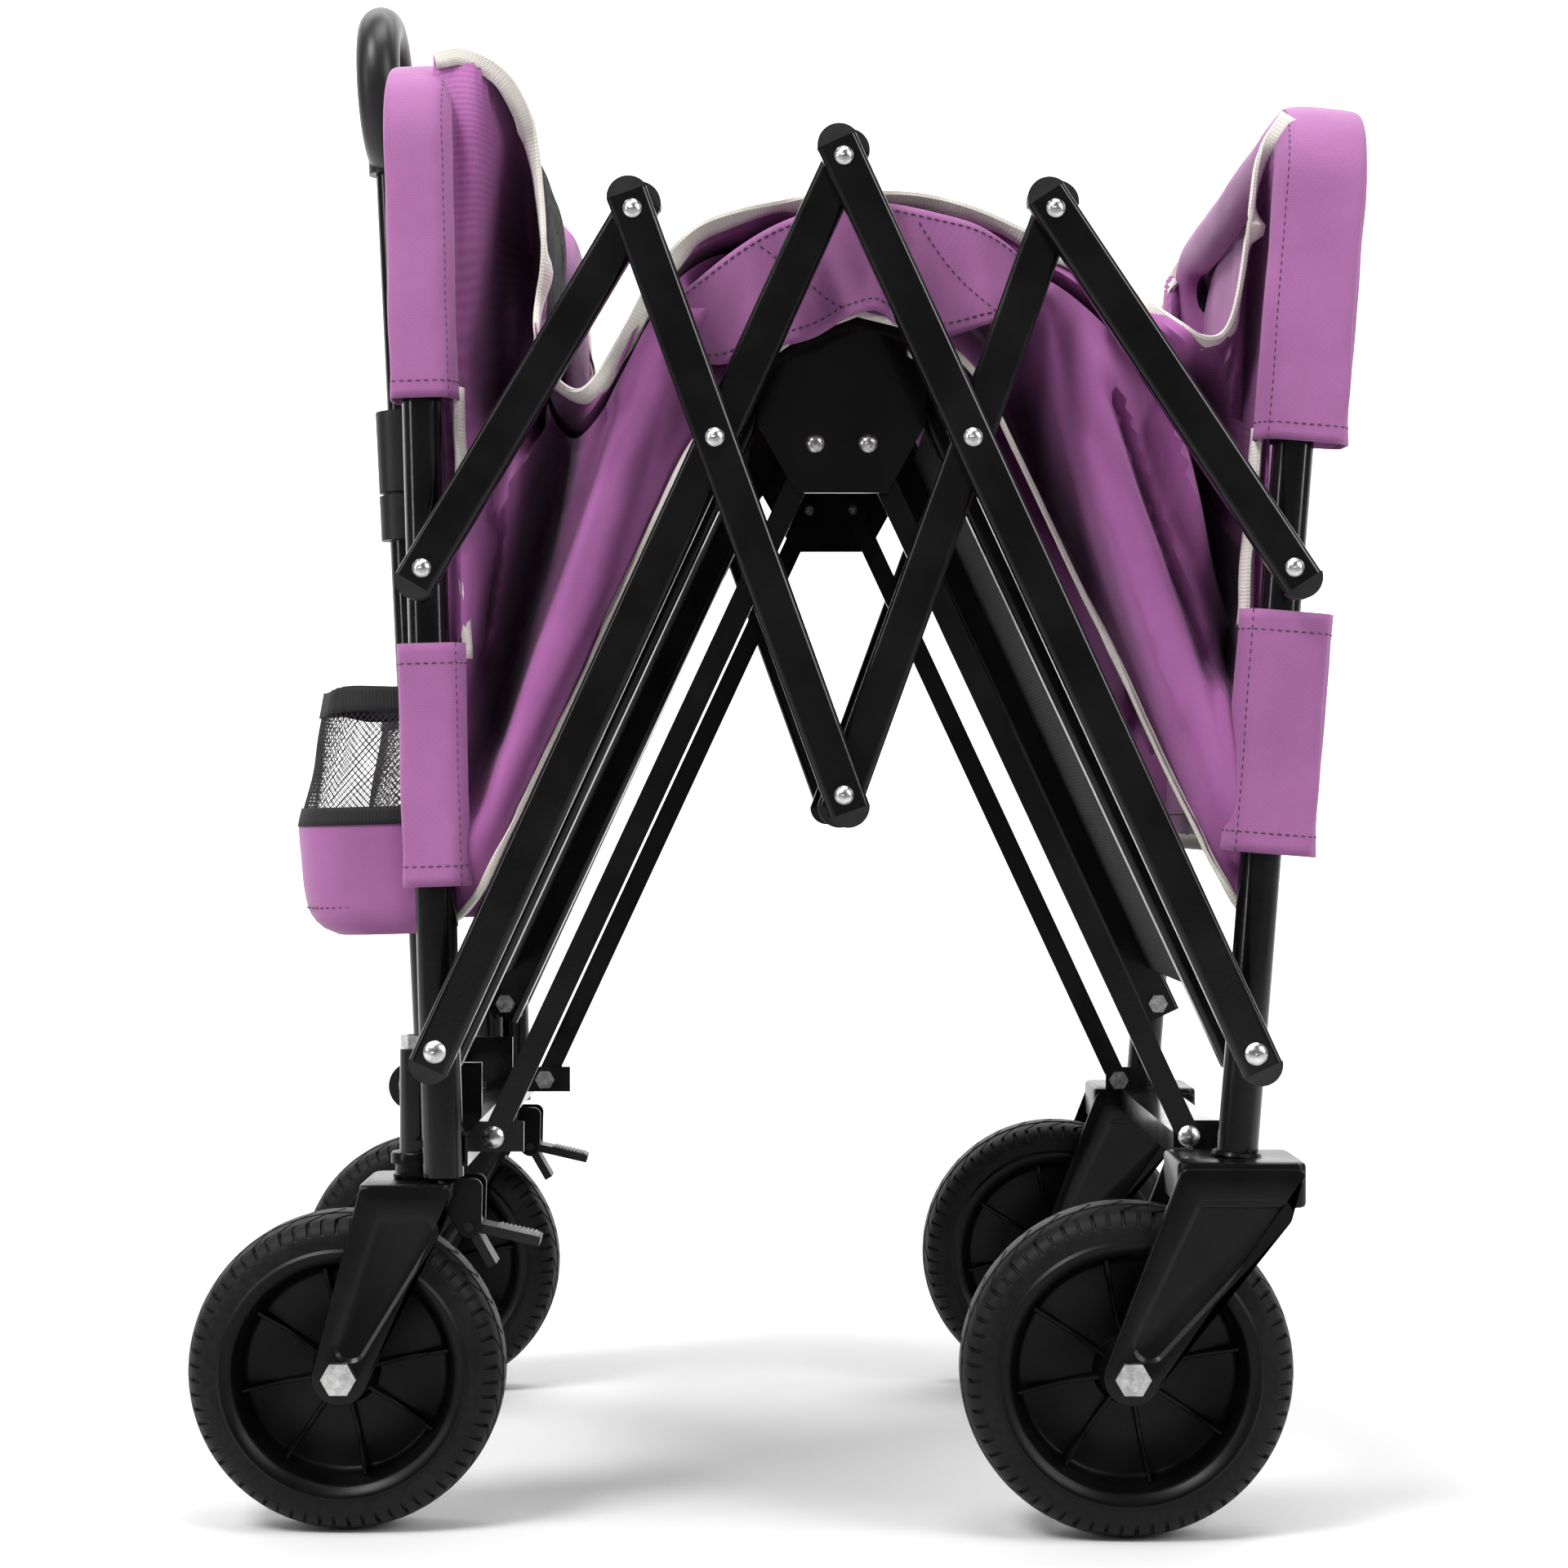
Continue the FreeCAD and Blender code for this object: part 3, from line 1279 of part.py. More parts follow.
SIDE_OUTLINE = (
    (-195, 335),
    (-206, 755),
    (-168, 765),
    (-150, 622),
    (-106, 674),
    (-58, 707),
    (8, 720),
    (58, 707),
    (106, 687),
    (198, 650),
    (222, 750),
    (214, 590),
    (203, 480),
    (195, 345),
    (100, 560),
    (60, 640),
    (12, 664),
    (-40, 636),
    (-80, 587),
)


def side_cloth(label):
    """The soft side, gathered up by the half-folded frame: a web at each end, a swag over the middle."""
    body = doc.addObject("PartDesign::Body", label + "_body")
    sketch = sketch_on(body, "XZ_Plane", label + "_outline")
    count = len(SIDE_OUTLINE)
    for index, (x, z) in enumerate(SIDE_OUTLINE):
        following = SIDE_OUTLINE[(index + 1) % count]
        sketch.addGeometry(Part.LineSegment(vector(x, z, 0), vector(following[0], following[1], 0)))
    pad = body.newObject("PartDesign::Pad", label + "_pad")
    pad.Profile = sketch
    pad.setExpression("Length", "sizes.side_cloth_depth")
    return body


left_cloth = side_cloth("side_cloth")
finish(left_cloth, "side_cloth_left", (MIDDLE, -size("side_cloth_y"), 0))
right_cloth = mirrored("side_cloth_mirror", left_cloth)
finish(right_cloth, "side_cloth_right")

# ---- check every object and write the sub-parts ----

doc.recompute()
for obj in doc.Objects:
    if "Invalid" in obj.State or "Error" in obj.State:
        raise RuntimeError(f"{obj.Name} did not compute: {obj.State}")
for obj in finished:
    if obj.Shape.isNull() or not obj.Shape.isValid():
        raise RuntimeError(f"{obj.Label} has no valid shape")

os.makedirs("parts", exist_ok=True)
for obj in finished:
    obj.Shape.exportStep(f"parts/{obj.Label}.step")
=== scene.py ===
"""The folding wagon's looks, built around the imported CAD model.

Made here: fabric, wheels, forks, pedal pads, materials, light and camera.

Metres, +Z up. The front end with the handle is at -X and the wagon's left side, nearest the camera, is at -Y.
"""

import json
import math

import bpy
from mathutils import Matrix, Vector, noise


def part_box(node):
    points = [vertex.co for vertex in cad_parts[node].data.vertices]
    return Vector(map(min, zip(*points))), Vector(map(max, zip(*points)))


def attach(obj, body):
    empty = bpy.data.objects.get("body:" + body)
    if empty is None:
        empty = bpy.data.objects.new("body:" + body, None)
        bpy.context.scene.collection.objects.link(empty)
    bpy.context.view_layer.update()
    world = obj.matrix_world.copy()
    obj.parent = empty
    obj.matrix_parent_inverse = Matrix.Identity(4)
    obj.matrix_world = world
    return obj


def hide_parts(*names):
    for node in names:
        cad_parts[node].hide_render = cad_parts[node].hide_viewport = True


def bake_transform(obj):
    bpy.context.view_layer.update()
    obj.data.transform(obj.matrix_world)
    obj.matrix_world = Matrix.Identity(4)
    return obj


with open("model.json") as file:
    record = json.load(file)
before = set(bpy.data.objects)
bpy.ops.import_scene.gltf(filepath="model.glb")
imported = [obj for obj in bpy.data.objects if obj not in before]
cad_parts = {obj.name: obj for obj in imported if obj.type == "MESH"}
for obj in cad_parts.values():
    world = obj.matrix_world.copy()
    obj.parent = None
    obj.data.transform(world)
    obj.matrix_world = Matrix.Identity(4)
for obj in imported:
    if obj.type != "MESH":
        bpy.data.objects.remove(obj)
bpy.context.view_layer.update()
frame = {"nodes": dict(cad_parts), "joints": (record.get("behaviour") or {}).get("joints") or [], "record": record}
MM = 0.001
TAU = 2 * math.pi
SIDES = (("left", -1), ("right", 1))
PIVOTS = {joint["name"]: Vector(joint["pos_m"]) for joint in frame["joints"] if "pos_m" in joint}
FRONT_FOOT = PIVOTS["fold"]
REAR_FOOT = PIVOTS["fold_rear_frame"]
MIDDLE = PIVOTS["fold_apex"].x
X_AXIS, Y_AXIS, Z_AXIS = Vector((1, 0, 0)), Vector((0, 1, 0)), Vector((0, 0, 1))


def leaning(degrees):
    """The direction of an end frame's uprights, which lean to the rear by degrees."""
    return Vector((math.sin(math.radians(degrees)), 0, math.cos(math.radians(degrees))))


FRONT_UP = leaning(-1.6)
REAR_UP = leaning(4.6)
FRAME_HALF_WIDTH = 220 * MM
SHARP_ANGLE = math.radians(40)


# ---- node materials ----


class Nodes:
    """A small builder for one material's node tree."""

    def __init__(self, name):
        self.material = bpy.data.materials.new(name)
        self.material.use_nodes = True
        self.tree = self.material.node_tree
        self.tree.nodes.clear()
        self.shader = self.add("ShaderNodeBsdfPrincipled")
        output = self.add("ShaderNodeOutputMaterial")
        self.join(self.shader.outputs["BSDF"], output.inputs["Surface"])

    def add(self, kind, **settings):
        node = self.tree.nodes.new(kind)
        for name, value in settings.items():
            setattr(node, name, value)
        return node

    def join(self, source, target):
        self.tree.links.new(source, target)

    def set(self, node, **values):
        for name, value in values.items():
            node.inputs[name.replace("_", " ")].default_value = value

    def place(self, kind="Object"):
        """Texture coordinates in metres."""
        return self.add("ShaderNodeTexCoord").outputs[kind]

    def noise(self, where, scale, detail):
        node = self.add("ShaderNodeTexNoise")
        self.set(node, Scale=scale, Detail=detail, Roughness=0.55)
        self.join(where, node.inputs["Vector"])
        return node.outputs["Fac"]

    def wave(self, where, scale, direction):
        node = self.add("ShaderNodeTexWave", bands_direction=direction, wave_profile="SIN")
        self.set(node, Scale=scale, Distortion=0.0)
        self.join(where, node.inputs["Vector"])
        return node.outputs["Fac"]

    def math(self, operation, first, second):
        node = self.add("ShaderNodeMath", operation=operation)
        for index, value in enumerate((first, second)):
            if isinstance(value, (int, float)):
                node.inputs[index].default_value = value
            else:
                self.join(value, node.inputs[index])
        return node.outputs["Value"]

    def weighted(self, first, share, second, other):
        """first times share plus second times other."""
        parts = [self.math("MULTIPLY", source, by) for source, by in ((first, share), (second, other))]
        return self.math("ADD", *parts)

    def ramp(self, factor, low, high, low_value, high_value):
        """Two-stop colour ramp from low_value to high_value."""
        node = self.add("ShaderNodeValToRGB")
        stops = node.color_ramp.elements
        stops[0].position, stops[0].color = low, (*low_value, 1)
        stops[1].position, stops[1].color = high, (*high_value, 1)
        self.join(factor, node.inputs["Fac"])
        return node.outputs["Color"]

    def paint_crease_shade(self, shade, deep):
        """Painted shade: darkens a colour towards deep where the mesh's hollow attribute says that the cloth is
        folded inwards.
        """
        hollow = self.add("ShaderNodeAttribute", attribute_name="hollow")
        mix = self.add("ShaderNodeMix", data_type="RGBA")
        self.join(hollow.outputs["Fac"], mix.inputs["Factor"])
        self.join(shade, mix.inputs[6])
        mix.inputs[7].default_value = (*deep, 1)
        return mix.outputs[2]

    def level(self, factor, low, high):
        """Maps 0..1 to low..high."""
        node = self.add("ShaderNodeMapRange")
        node.inputs["To Min"].default_value = low
        node.inputs["To Max"].default_value = high
        self.join(factor, node.inputs["Value"])
        return node.outputs["Result"]

    def bump(self, height, distance, strength):
        node = self.add("ShaderNodeBump")
        self.set(node, Distance=distance, Strength=strength)
        self.join(height, node.inputs["Height"])
        return node.outputs["Normal"]

    def finish(self, colour=None, roughness=None, normal=None, **values):
        """Connects what is given and sets the shader's constants."""
        for socket, source in (("Base Color", colour), ("Roughness", roughness), ("Normal", normal)):
            if source is not None:
                self.join(source, self.shader.inputs[socket])
        self.set(self.shader, **values)
        return self.material


def powder_coat(name, base=0.002, gloss=0.17, shine=0.34):
    """Black powder-coated steel: deep gloss, faint orange peel, dust specks and rubbed patches."""
    n = Nodes(name)
    where = n.place()
    patches = n.noise(where, 26, 4)
    specks = n.noise(where, 900, 2)
    dust = n.math("GREATER_THAN", specks, 0.74)
    cloud = n.math("ADD", patches, n.math("MULTIPLY", dust, 0.3))
    shade = n.ramp(cloud, 0.35, 1.0, (base,) * 3, (base * 4,) * 3)
    peel = n.bump(n.noise(where, 420, 2), 0.00012, 0.35)
    rough = n.level(patches, gloss - 0.08, gloss + 0.12)
    coat = {"Coat_Weight": shine / 2, "Coat_Roughness": 0.06}
    return n.finish(shade, rough, peel, IOR=1.45, Specular_IOR_Level=shine, **coat)


def moulded_plastic(name, base=0.005, rough=0.42, grain=0.00008, shine=0.35):
    """Black moulded nylon or polypropylene with a fine spark-eroded grain."""
    n = Nodes(name)
    where = n.place()
    cloud = n.noise(where, 40, 3)
    shade = n.ramp(cloud, 0.3, 0.8, (base,) * 3, (base * 2.0,) * 3)
    skin = n.bump(n.noise(where, 1500, 2), grain, 0.6)
    rough = n.level(cloud, rough - 0.06, rough + 0.08)
    return n.finish(shade, rough, skin, IOR=1.46, Specular_IOR_Level=shine)


def zinc_plate(name):
    """Bright zinc-plated steel with faint blotches and a fine bumped grain."""
    n = Nodes(name)
    where = n.place()
    blotch = n.noise(where, 240, 4)
    fine = n.noise(where, 1600, 2)
    shade = n.ramp(blotch, 0.3, 0.75, (0.42, 0.42, 0.43), (0.82, 0.82, 0.8))
    return n.finish(shade, n.level(blotch, 0.16, 0.38), n.bump(fine, 0.00008, 0.5), Metallic=1.0)


def tyre_rubber(name):
    """Foam-rubber tyre: dusty black with a soft mould skin."""
    n = Nodes(name)
    where = n.place()
    cloud = n.noise(where, 30, 4)
    dust = n.noise(where, 260, 3)
    shade = n.ramp(n.math("MULTIPLY", cloud, dust), 0.12, 0.5, (0.003, 0.003, 0.003), (0.011, 0.0108, 0.0105))
    skin = n.bump(n.noise(where, 700, 3), 0.00025, 0.4)
    rough = n.level(dust, 0.42, 0.62)
    return n.finish(shade, rough, skin, IOR=1.45, Specular_IOR_Level=0.18, Sheen_Weight=0.01)


def woven(name, light, dark, pitch=0.9 * MM, sheen=0.25, rough=0.72, kind="UV", paint_crease_shade=False, shine=0.5):
    """Plain-woven polyester: crossed yarns in the sheet's measured UVs, colour drift, a soft sheen and, if asked,
    painted shade in its creases.
    """
    n = Nodes(name)
    where = n.place(kind)
    turns = 2 / (pitch * TAU)
    warp = n.wave(where, turns, "X")
    weft = n.wave(where, turns, "Y")
    twill = n.wave(where, turns * 0.5, "DIAGONAL")
    yarn = n.math("MULTIPLY", warp, weft)
    drift = n.noise(n.place(), 14, 4)
    mix = n.weighted(yarn, 0.4, drift, 0.75)
    mix = n.math("ADD", mix, n.math("MULTIPLY", twill, 0.04))
    shade = n.ramp(mix, 0.2, 0.95, dark, light)
    if paint_crease_shade:
        shade = n.paint_crease_shade(shade, CREASE_SHADE_PURPLE)
    normal = n.bump(n.math("MAXIMUM", warp, weft), 0.00022, 0.55)
    rough = n.level(drift, rough - 0.05, rough + 0.08)
    return n.finish(shade, rough, normal, Sheen_Weight=sheen, Sheen_Roughness=0.4, Specular_IOR_Level=shine)


def webbing(name, light, dark, sheen=0.2):
    """Ribbed binding tape: fine cross ribs along its length, with a slightly soiled tint."""
    n = Nodes(name)
    where = n.place("UV")
    ribs = n.wave(where, 160, "X")
    edge = n.wave(where, 420, "Y")
    soil = n.noise(n.place(), 45, 4)
    shade = n.ramp(n.weighted(ribs, 0.35, soil, 0.8), 0.25, 0.95, dark, light)
    normal = n.bump(n.math("MULTIPLY", ribs, edge), 0.0003, 0.8)
    return n.finish(shade, n.level(soil, 0.7, 0.85), normal, Sheen_Weight=sheen)


# Painted shade: the purple that the side cloth's creases darken towards.
CREASE_SHADE_PURPLE = (0.04, 0.006, 0.036)
STEEL = powder_coat("powder_coat")
STEEL_SOFT = powder_coat("powder_coat_soft", 0.002, 0.3, 0.16)
PLASTIC = moulded_plastic("moulded_plastic")
CAP_PLASTIC = moulded_plastic("cap_plastic", 0.011, 0.46)
GRIP_RUBBER = moulded_plastic("grip_rubber", 0.008, 0.34, 0.00014)
RIM_PLASTIC = moulded_plastic("rim_plastic", 0.0012, 0.32, shine=0.16)
ZINC = zinc_plate("zinc_plate")
RUBBER = tyre_rubber("tyre_rubber")
PURPLE = woven("purple_cloth", (0.46, 0.165, 0.41), (0.24, 0.068, 0.22))
# The side cloth is the same purple cloth as the sleeves. This copy's colours are set apart to stand in for how
# light falls on the sides, and it carries painted shade in its creases.
PURPLE_SIDE_PAINTED_SHADE = woven("purple_side_cloth_painted_shade", (0.5, 0.16, 0.45), (0.26, 0.064, 0.24), sheen=0.12, paint_crease_shade=True)
BLACK_CLOTH = woven("black_cloth", (0.008,) * 3, (0.003,) * 3, sheen=0.0, kind="Object", shine=0.1)
TAPE = webbing("cream_tape", (0.9, 0.87, 0.8), (0.74, 0.7, 0.62))
ELASTIC = webbing("black_elastic", (0.012,) * 3, (0.004,) * 3, 0.0)
GREY_PLASTIC = moulded_plastic("grey_plastic", 0.16, 0.5)
THREAD = moulded_plastic("purple_thread", 0.03, 0.7)
NET = moulded_plastic("black_net", 0.02, 0.6)


def dress(name, material):
    """Gives a CAD node its material and softly broken edges."""
    node = frame["nodes"][name]
    node.data.materials.clear()
    node.data.materials.append(material)
    for polygon in node.data.polygons:
        polygon.use_smooth = True
    edges = node.modifiers.new("broken_edges", "BEVEL")
    edges.width = 0.5 * MM
    edges.segments = 2
    edges.limit_method = "ANGLE"
    edges.angle_limit = SHARP_ANGLE
    edges.harden_normals = True


SLOTS = {entry["node"]: entry["material_slot"] for entry in frame["record"]["subparts"]}
SLOT_MATERIALS = {
    "black_steel": STEEL,
    "black_plastic": PLASTIC,
    "zinc_steel": ZINC,
    "tyre_rubber": RUBBER,
    "floor_board": BLACK_CLOTH,
    "purple_cloth": PURPLE,
    "pocket_cloth": PURPLE,
}
for name in sorted(frame["nodes"]):
    if name.endswith("_caps"):
        dress(name, CAP_PLASTIC)
    elif name == "handle_grip":
        dress(name, GRIP_RUBBER)
    else:
        dress(name, SLOT_MATERIALS[SLOTS[name]])


# ---- mesh helpers ----


def piece(name, verts, faces, material, body=None, uvs=None, smooth=True, slot=None):
    """A mesh object, smooth but sharp past SHARP_ANGLE, with the body that it rides on. Its slot is not used."""
    mesh = bpy.data.meshes.new(name)
    mesh.from_pydata([tuple(v) for v in verts], [], faces)
    if uvs is not None:
        layer = mesh.uv_layers.new(name="cloth")
        for loop in mesh.loops:
            layer.data[loop.index].uv = uvs[loop.vertex_index]
    mesh.polygons.foreach_set("use_smooth", [smooth] * len(mesh.polygons))
    mesh.materials.append(material)
    mesh.set_sharp_from_angle(angle=SHARP_ANGLE)
    obj = bpy.data.objects.new(name, mesh)
    bpy.context.collection.objects.link(obj)
    if body:
        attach(obj, body)
    return obj


def lattice(rows, closed=False):
    """Vertices and quads of rows of points; closed joins each row's end to its start."""
    count = len(rows[0])
    verts = [point for row in rows for point in row]
    faces = []
    for i in range(len(rows) - 1):
        for j in range(count if closed else count - 1):
            k = (j + 1) % count
            faces.append((i * count + j, i * count + k, (i + 1) * count + k, (i + 1) * count + j))
    return verts, faces


def distances(path):
    """How far along a path each of its points is."""
    result = [0.0]
    for a, b in zip(path, path[1:]):
        result.append(result[-1] + (b - a).length)
    return result


def measured(rows):
    """UVs in metres along and down a lattice."""
    middle = len(rows[0]) // 2
    downs = distances([row[middle] for row in rows])
    return [(along, down) for row, down in zip(rows, downs) for along in distances(row)]


def circle(centre, side, up, radius, steps):
    """Points of a circle round centre, turning from side towards up."""
    turns = [TAU * k / steps for k in range(steps)]
    return [centre + (side * math.cos(a) + up * math.sin(a)) * radius for a in turns]


def thicken(obj, thickness):
    """Gives a sheet its thickness, half of it on each face."""
    solid = obj.modifiers.new("thickness", "SOLIDIFY")
    solid.thickness = thickness
    solid.offset = 0.0
    return obj


def fabric(name, rows, material, body, thickness, slot="purple_cloth"):
    """A thin sheet through rows of points, with measured UVs."""
    return thicken(piece(name, *lattice(rows), material, body, measured(rows), slot=slot), thickness)


def cloth(name, rows, body, slot="purple_cloth"):
    """A purple sheet from rows of points."""
    obj = fabric(name, rows, PURPLE, body, 1.0 * MM, slot)
    return obj


def between(a, b, c, d, t):
    """A Catmull-Rom point at the share t of the way from b to c."""
    return 0.5 * (2 * b + (c - a) * t + (2 * a - 5 * b + 4 * c - d) * t * t + (3 * b - a - 3 * c + d) * t**3)


def smooth_path(points, steps):
    """A Catmull-Rom curve through the points, with the given steps between each two."""
    points = [Vector(p) for p in points]
    padded = [2 * points[0] - points[1]] + points + [2 * points[-1] - points[-2]]
    path = []
    for i in range(1, len(padded) - 2):
        path += [between(*padded[i - 1 : i + 3], k / steps) for k in range(steps)]
    return path + [points[-1]]


def evenly(path, count):
    """The path resampled at equal distances."""
    lengths = distances(path)
    result = []
    k = 0
    for i in range(count):
        want = lengths[-1] * i / (count - 1)
        while k < len(path) - 2 and lengths[k + 1] < want:
            k += 1
        span = max(lengths[k + 1] - lengths[k], 1e-9)
        result.append(path[k].lerp(path[k + 1], min(max((want - lengths[k]) / span, 0.0), 1.0)))
    return result


def stitches(name, path, body, pitch=4.2 * MM, length=2.7 * MM, radius=0.4 * MM, material=THREAD):
    """A row of short threads that lie along a path."""
    sides = 5
    count = max(int(distances(path)[-1] / pitch), 2)
    places = evenly(path, count * 2)
    verts, faces = [], []
    for i in range(0, len(places) - 1, 2):
        middle = (places[i] + places[i + 1]) / 2
        along = (places[i + 1] - places[i]).normalized()
        side = along.orthogonal().normalized()
        up = along.cross(side)
        base = len(verts)
        for end, swell in ((-0.5, 0.35), (-0.2, 1.0), (0.2, 1.0), (0.5, 0.35)):
            verts += circle(middle + along * length * end, side, up, radius * swell, sides)
        for lo in range(base, base + 3 * sides, sides):
            for k in range(sides):
                m = (k + 1) % sides
                faces.append((lo + k, lo + m, lo + sides + m, lo + sides + k))
        faces.append(tuple(base + k for k in reversed(range(sides))))
        faces.append(tuple(base + 3 * sides + k for k in range(sides)))
    return piece(name, verts, faces, material, body)


# ---- wheels ----

LATHE_STEPS = 96
FRONT_WHEEL_RADIUS = 85.5 * MM
REAR_WHEEL_RADIUS = 89 * MM
TYRE_DEPTH = 20.2 * MM
WHEEL_HALF = 26 * MM
TREAD_CELLS = 32
GROOVE_DEPTH = 2.3 * MM
# Where a tread cell's grid columns stand, as shares of the cell, and its rows, as shares from crown to bead.
CELL_PHASES = (0.0, 0.035, 0.11, 0.145, 0.3, 0.44, 0.5, 0.535, 0.6, 0.635, 0.78, 0.92)
TREAD_ROWS = (
    0.0, 0.06, 0.14, 0.165, 0.205, 0.23, 0.32, 0.4, 0.44, 0.52, 0.6, 0.66, 0.72, 0.78, 0.84, 0.92, 1.0,
)
# How far the cells' columns slant, in cells, up to this share of the way.
SLANT, SLANT_END = 1.15, 0.44
RIBS = 8
RIB_STEPS = 14
RIB_START = 14 * MM
RIB_END = 9 * MM
RIB_HALF_THICKNESS = 1.2 * MM
RIB_FOOT = 4 * MM
# Radius and half width in millimetres of a wheel's hub and web.
HUB_PROFILE = ((5.2, 29.0), (11.0, 29.0), (13.5, 28.0), (15.0, 25.0), (15.8, 9.0), (18.5, 6.0), (30.0, 4.4))
# The barrel and its lip: millimetres past the tyre's seat, and half width.
BARREL_PROFILE = ((-13.0, 4.0), (-10.2, 6.0), (-8.6, 12.0), (-6.8, 21.5), (-5.0, 24.6), (-3.0, 25.4))
BARREL_PROFILE += ((-1.6, 26.9), (0.4, 27.3), (2.0, 26.2), (2.2, 22.0))


def groove(column, share):
    """How deep the tread is cut at a column of a cell, at a share of the way from crown to bead."""
    fade = min(max((0.8 - share) / 0.12, 0.0), 1.0)
    main = column in (1, 2) and share > 0.03
    sipe = column in (7, 8) and share > 0.41
    ring = 0.15 < share < 0.22
    return max(float(main or sipe) * fade, float(ring))


def tyre(node, body, radius):
    """A foam tyre with chevron tread blocks and shoulder sipes, on a grid that slants with its grooves."""
    axle = sum(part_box(node), Vector()) / 2
    shares = [-f for f in reversed(TREAD_ROWS[1:])] + list(TREAD_ROWS)
    rows = []
    for share in shares:
        f = abs(share)
        t = f * math.pi / 2
        y = math.copysign(WHEEL_HALF * math.sin(t) ** 0.75, share)
        r = radius - TYRE_DEPTH + TYRE_DEPTH * max(math.cos(t), 0.0) ** 0.62
        skew = SLANT * min(f, SLANT_END) / SLANT_END
        ring = []
        for cell in range(TREAD_CELLS):
            for column, phase in enumerate(CELL_PHASES):
                a = TAU * (cell + phase + skew) / TREAD_CELLS
                deep = r - GROOVE_DEPTH * groove(column, f)
                ring.append(axle + Vector((deep * math.cos(a), y, deep * math.sin(a))))
        rows.append(ring)
    obj = piece(node + "_tread", *lattice(rows, closed=True), RUBBER, body, slot="tyre_rubber")
    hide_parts(node)


def rib_mesh(axle, outer, side):
    """Thin ribs on one face of a wheel's dish, lower in the middle than at their ends."""
    verts, faces = [], []
    for rib in range(RIBS):
        base = len(verts)
        a = TAU * (rib + 0.25) / RIBS
        along = Vector((math.cos(a), 0, math.sin(a)))
        across = Vector((-math.sin(a), 0, math.cos(a))) * RIB_HALF_THICKNESS
        for k in range(RIB_STEPS + 1):
            share = k / RIB_STEPS
            centre = axle + along * (RIB_START + (outer - RIB_START) * share)
            top = (10.5 + 3.0 * math.cos(TAU * share)) * MM
            below = top - 0.7 * MM
            rise = ((RIB_FOOT, 1.3), (below, 1.0), (top, 0.6))
            for depth, half in rise + tuple((depth, -half) for depth, half in reversed(rise)):
                verts.append(centre + across * half + Y_AXIS * side * depth)
        for p in range(base, base + 6 * RIB_STEPS, 6):
            faces += [(p + j, p + j + 1, p + j + 7, p + j + 6) for j in range(5)]
        faces.append(tuple(base + j for j in range(6)))
        faces.append(tuple(base + 6 * RIB_STEPS + j for j in reversed(range(6))))
    return verts, faces


def rim(node, body, radius):
    """A moulded wheel centre: lips, dished barrel, web, hub and ribs."""
    axle = sum(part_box(node), Vector()) / 2
    outer = radius - TYRE_DEPTH
    half = [(r * MM, y * MM) for r, y in HUB_PROFILE] + [(outer + r * MM, y * MM) for r, y in BARREL_PROFILE]
    profile = [(r, -y) for r, y in half] + half[::-1]
    rows = [circle(axle + Y_AXIS * y, X_AXIS, Z_AXIS, r, LATHE_STEPS) for r, y in profile]
    obj = piece(node + "_centre", *lattice(rows, closed=True), RIM_PLASTIC, body, slot="black_plastic")
    for label, side in (("outer", -1), ("inner", 1)):
        ribs = rib_mesh(axle, outer - RIB_END, side)
        piece(f"{node}_ribs_{label}", *ribs, RIM_PLASTIC, body, slot="black_plastic")
    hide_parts(node)


for side, _ in SIDES:
    for end, radius in (("front", FRONT_WHEEL_RADIUS), ("rear", REAR_WHEEL_RADIUS)):
        tyre(f"{end}_tyre_{side}", f"{end}_wheel_{side}", radius)
        rim(f"{end}_rim_{side}", f"{end}_wheel_{side}", radius)


# ---- pressed-steel forks ----

LOOP_STEPS = 72
BLOCK_STEPS = 48
LEG_DEPTH = 4 * MM
LEG_GAP = 30 * MM
LEG_CORNER = 4 * MM
AXLE_BOSS = 15 * MM
CHANNEL_FOOT = 17 * MM
CHANNEL_SIDE = 15 * MM
CHANNEL_DROP = 24 * MM
BEAD_SIDES = 6
BEAD_STEPS = 72
FORK_HALF = LEG_GAP + LEG_DEPTH
FRONT_CROWN_HALF = 25 * MM
FRONT_CROWN_TOP = 188 * MM
REAR_CROWN_HALF = 34 * MM
REAR_CROWN_TOP = 202 * MM
REAR_CROWN_DEPTH = 24 * MM
EAR_FOOT = 184 * MM
# Radius and height in millimetres of the bearing cups between crown and socket.
BEARING_PROFILE = ((6.2, 183), (12.5, 187.5), (13.4, 189), (13.4, 190.5), (12.2, 191.5), (12.2, 196))
BEARING_PROFILE += ((14.6, 196.4), (14.6, 201.4), (14.0, 202.4), (6.2, 202.4))
BEARING_STEPS = 64


def steel(name, verts, faces, body):
    """A piece of satin black steel."""
    return piece(name, verts, faces, STEEL_SOFT, body, slot="black_steel")


def hull_loop(circles):
    """The outline of circles (x, z, radius) wrapped by a taut band, as points by direction."""
    loop = []
    for k in range(LOOP_STEPS):
        a = TAU * k / LOOP_STEPS
        d = (math.cos(a), math.sin(a))
        x, z, r = max(circles, key=lambda c: c[0] * d[0] + c[1] * d[1] + c[2])
        loop.append((x + r * d[0], z + r * d[1]))
    return loop


def skin(name, loops, body):
    """A closed steel skin through loops of points, with flat ends."""
    verts, faces = lattice(loops, closed=True)
    count = len(loops[0])
    faces.append(tuple(reversed(range(count))))
    faces.append(tuple(len(verts) - count + k for k in range(count)))
    return steel(name, verts, faces, body)


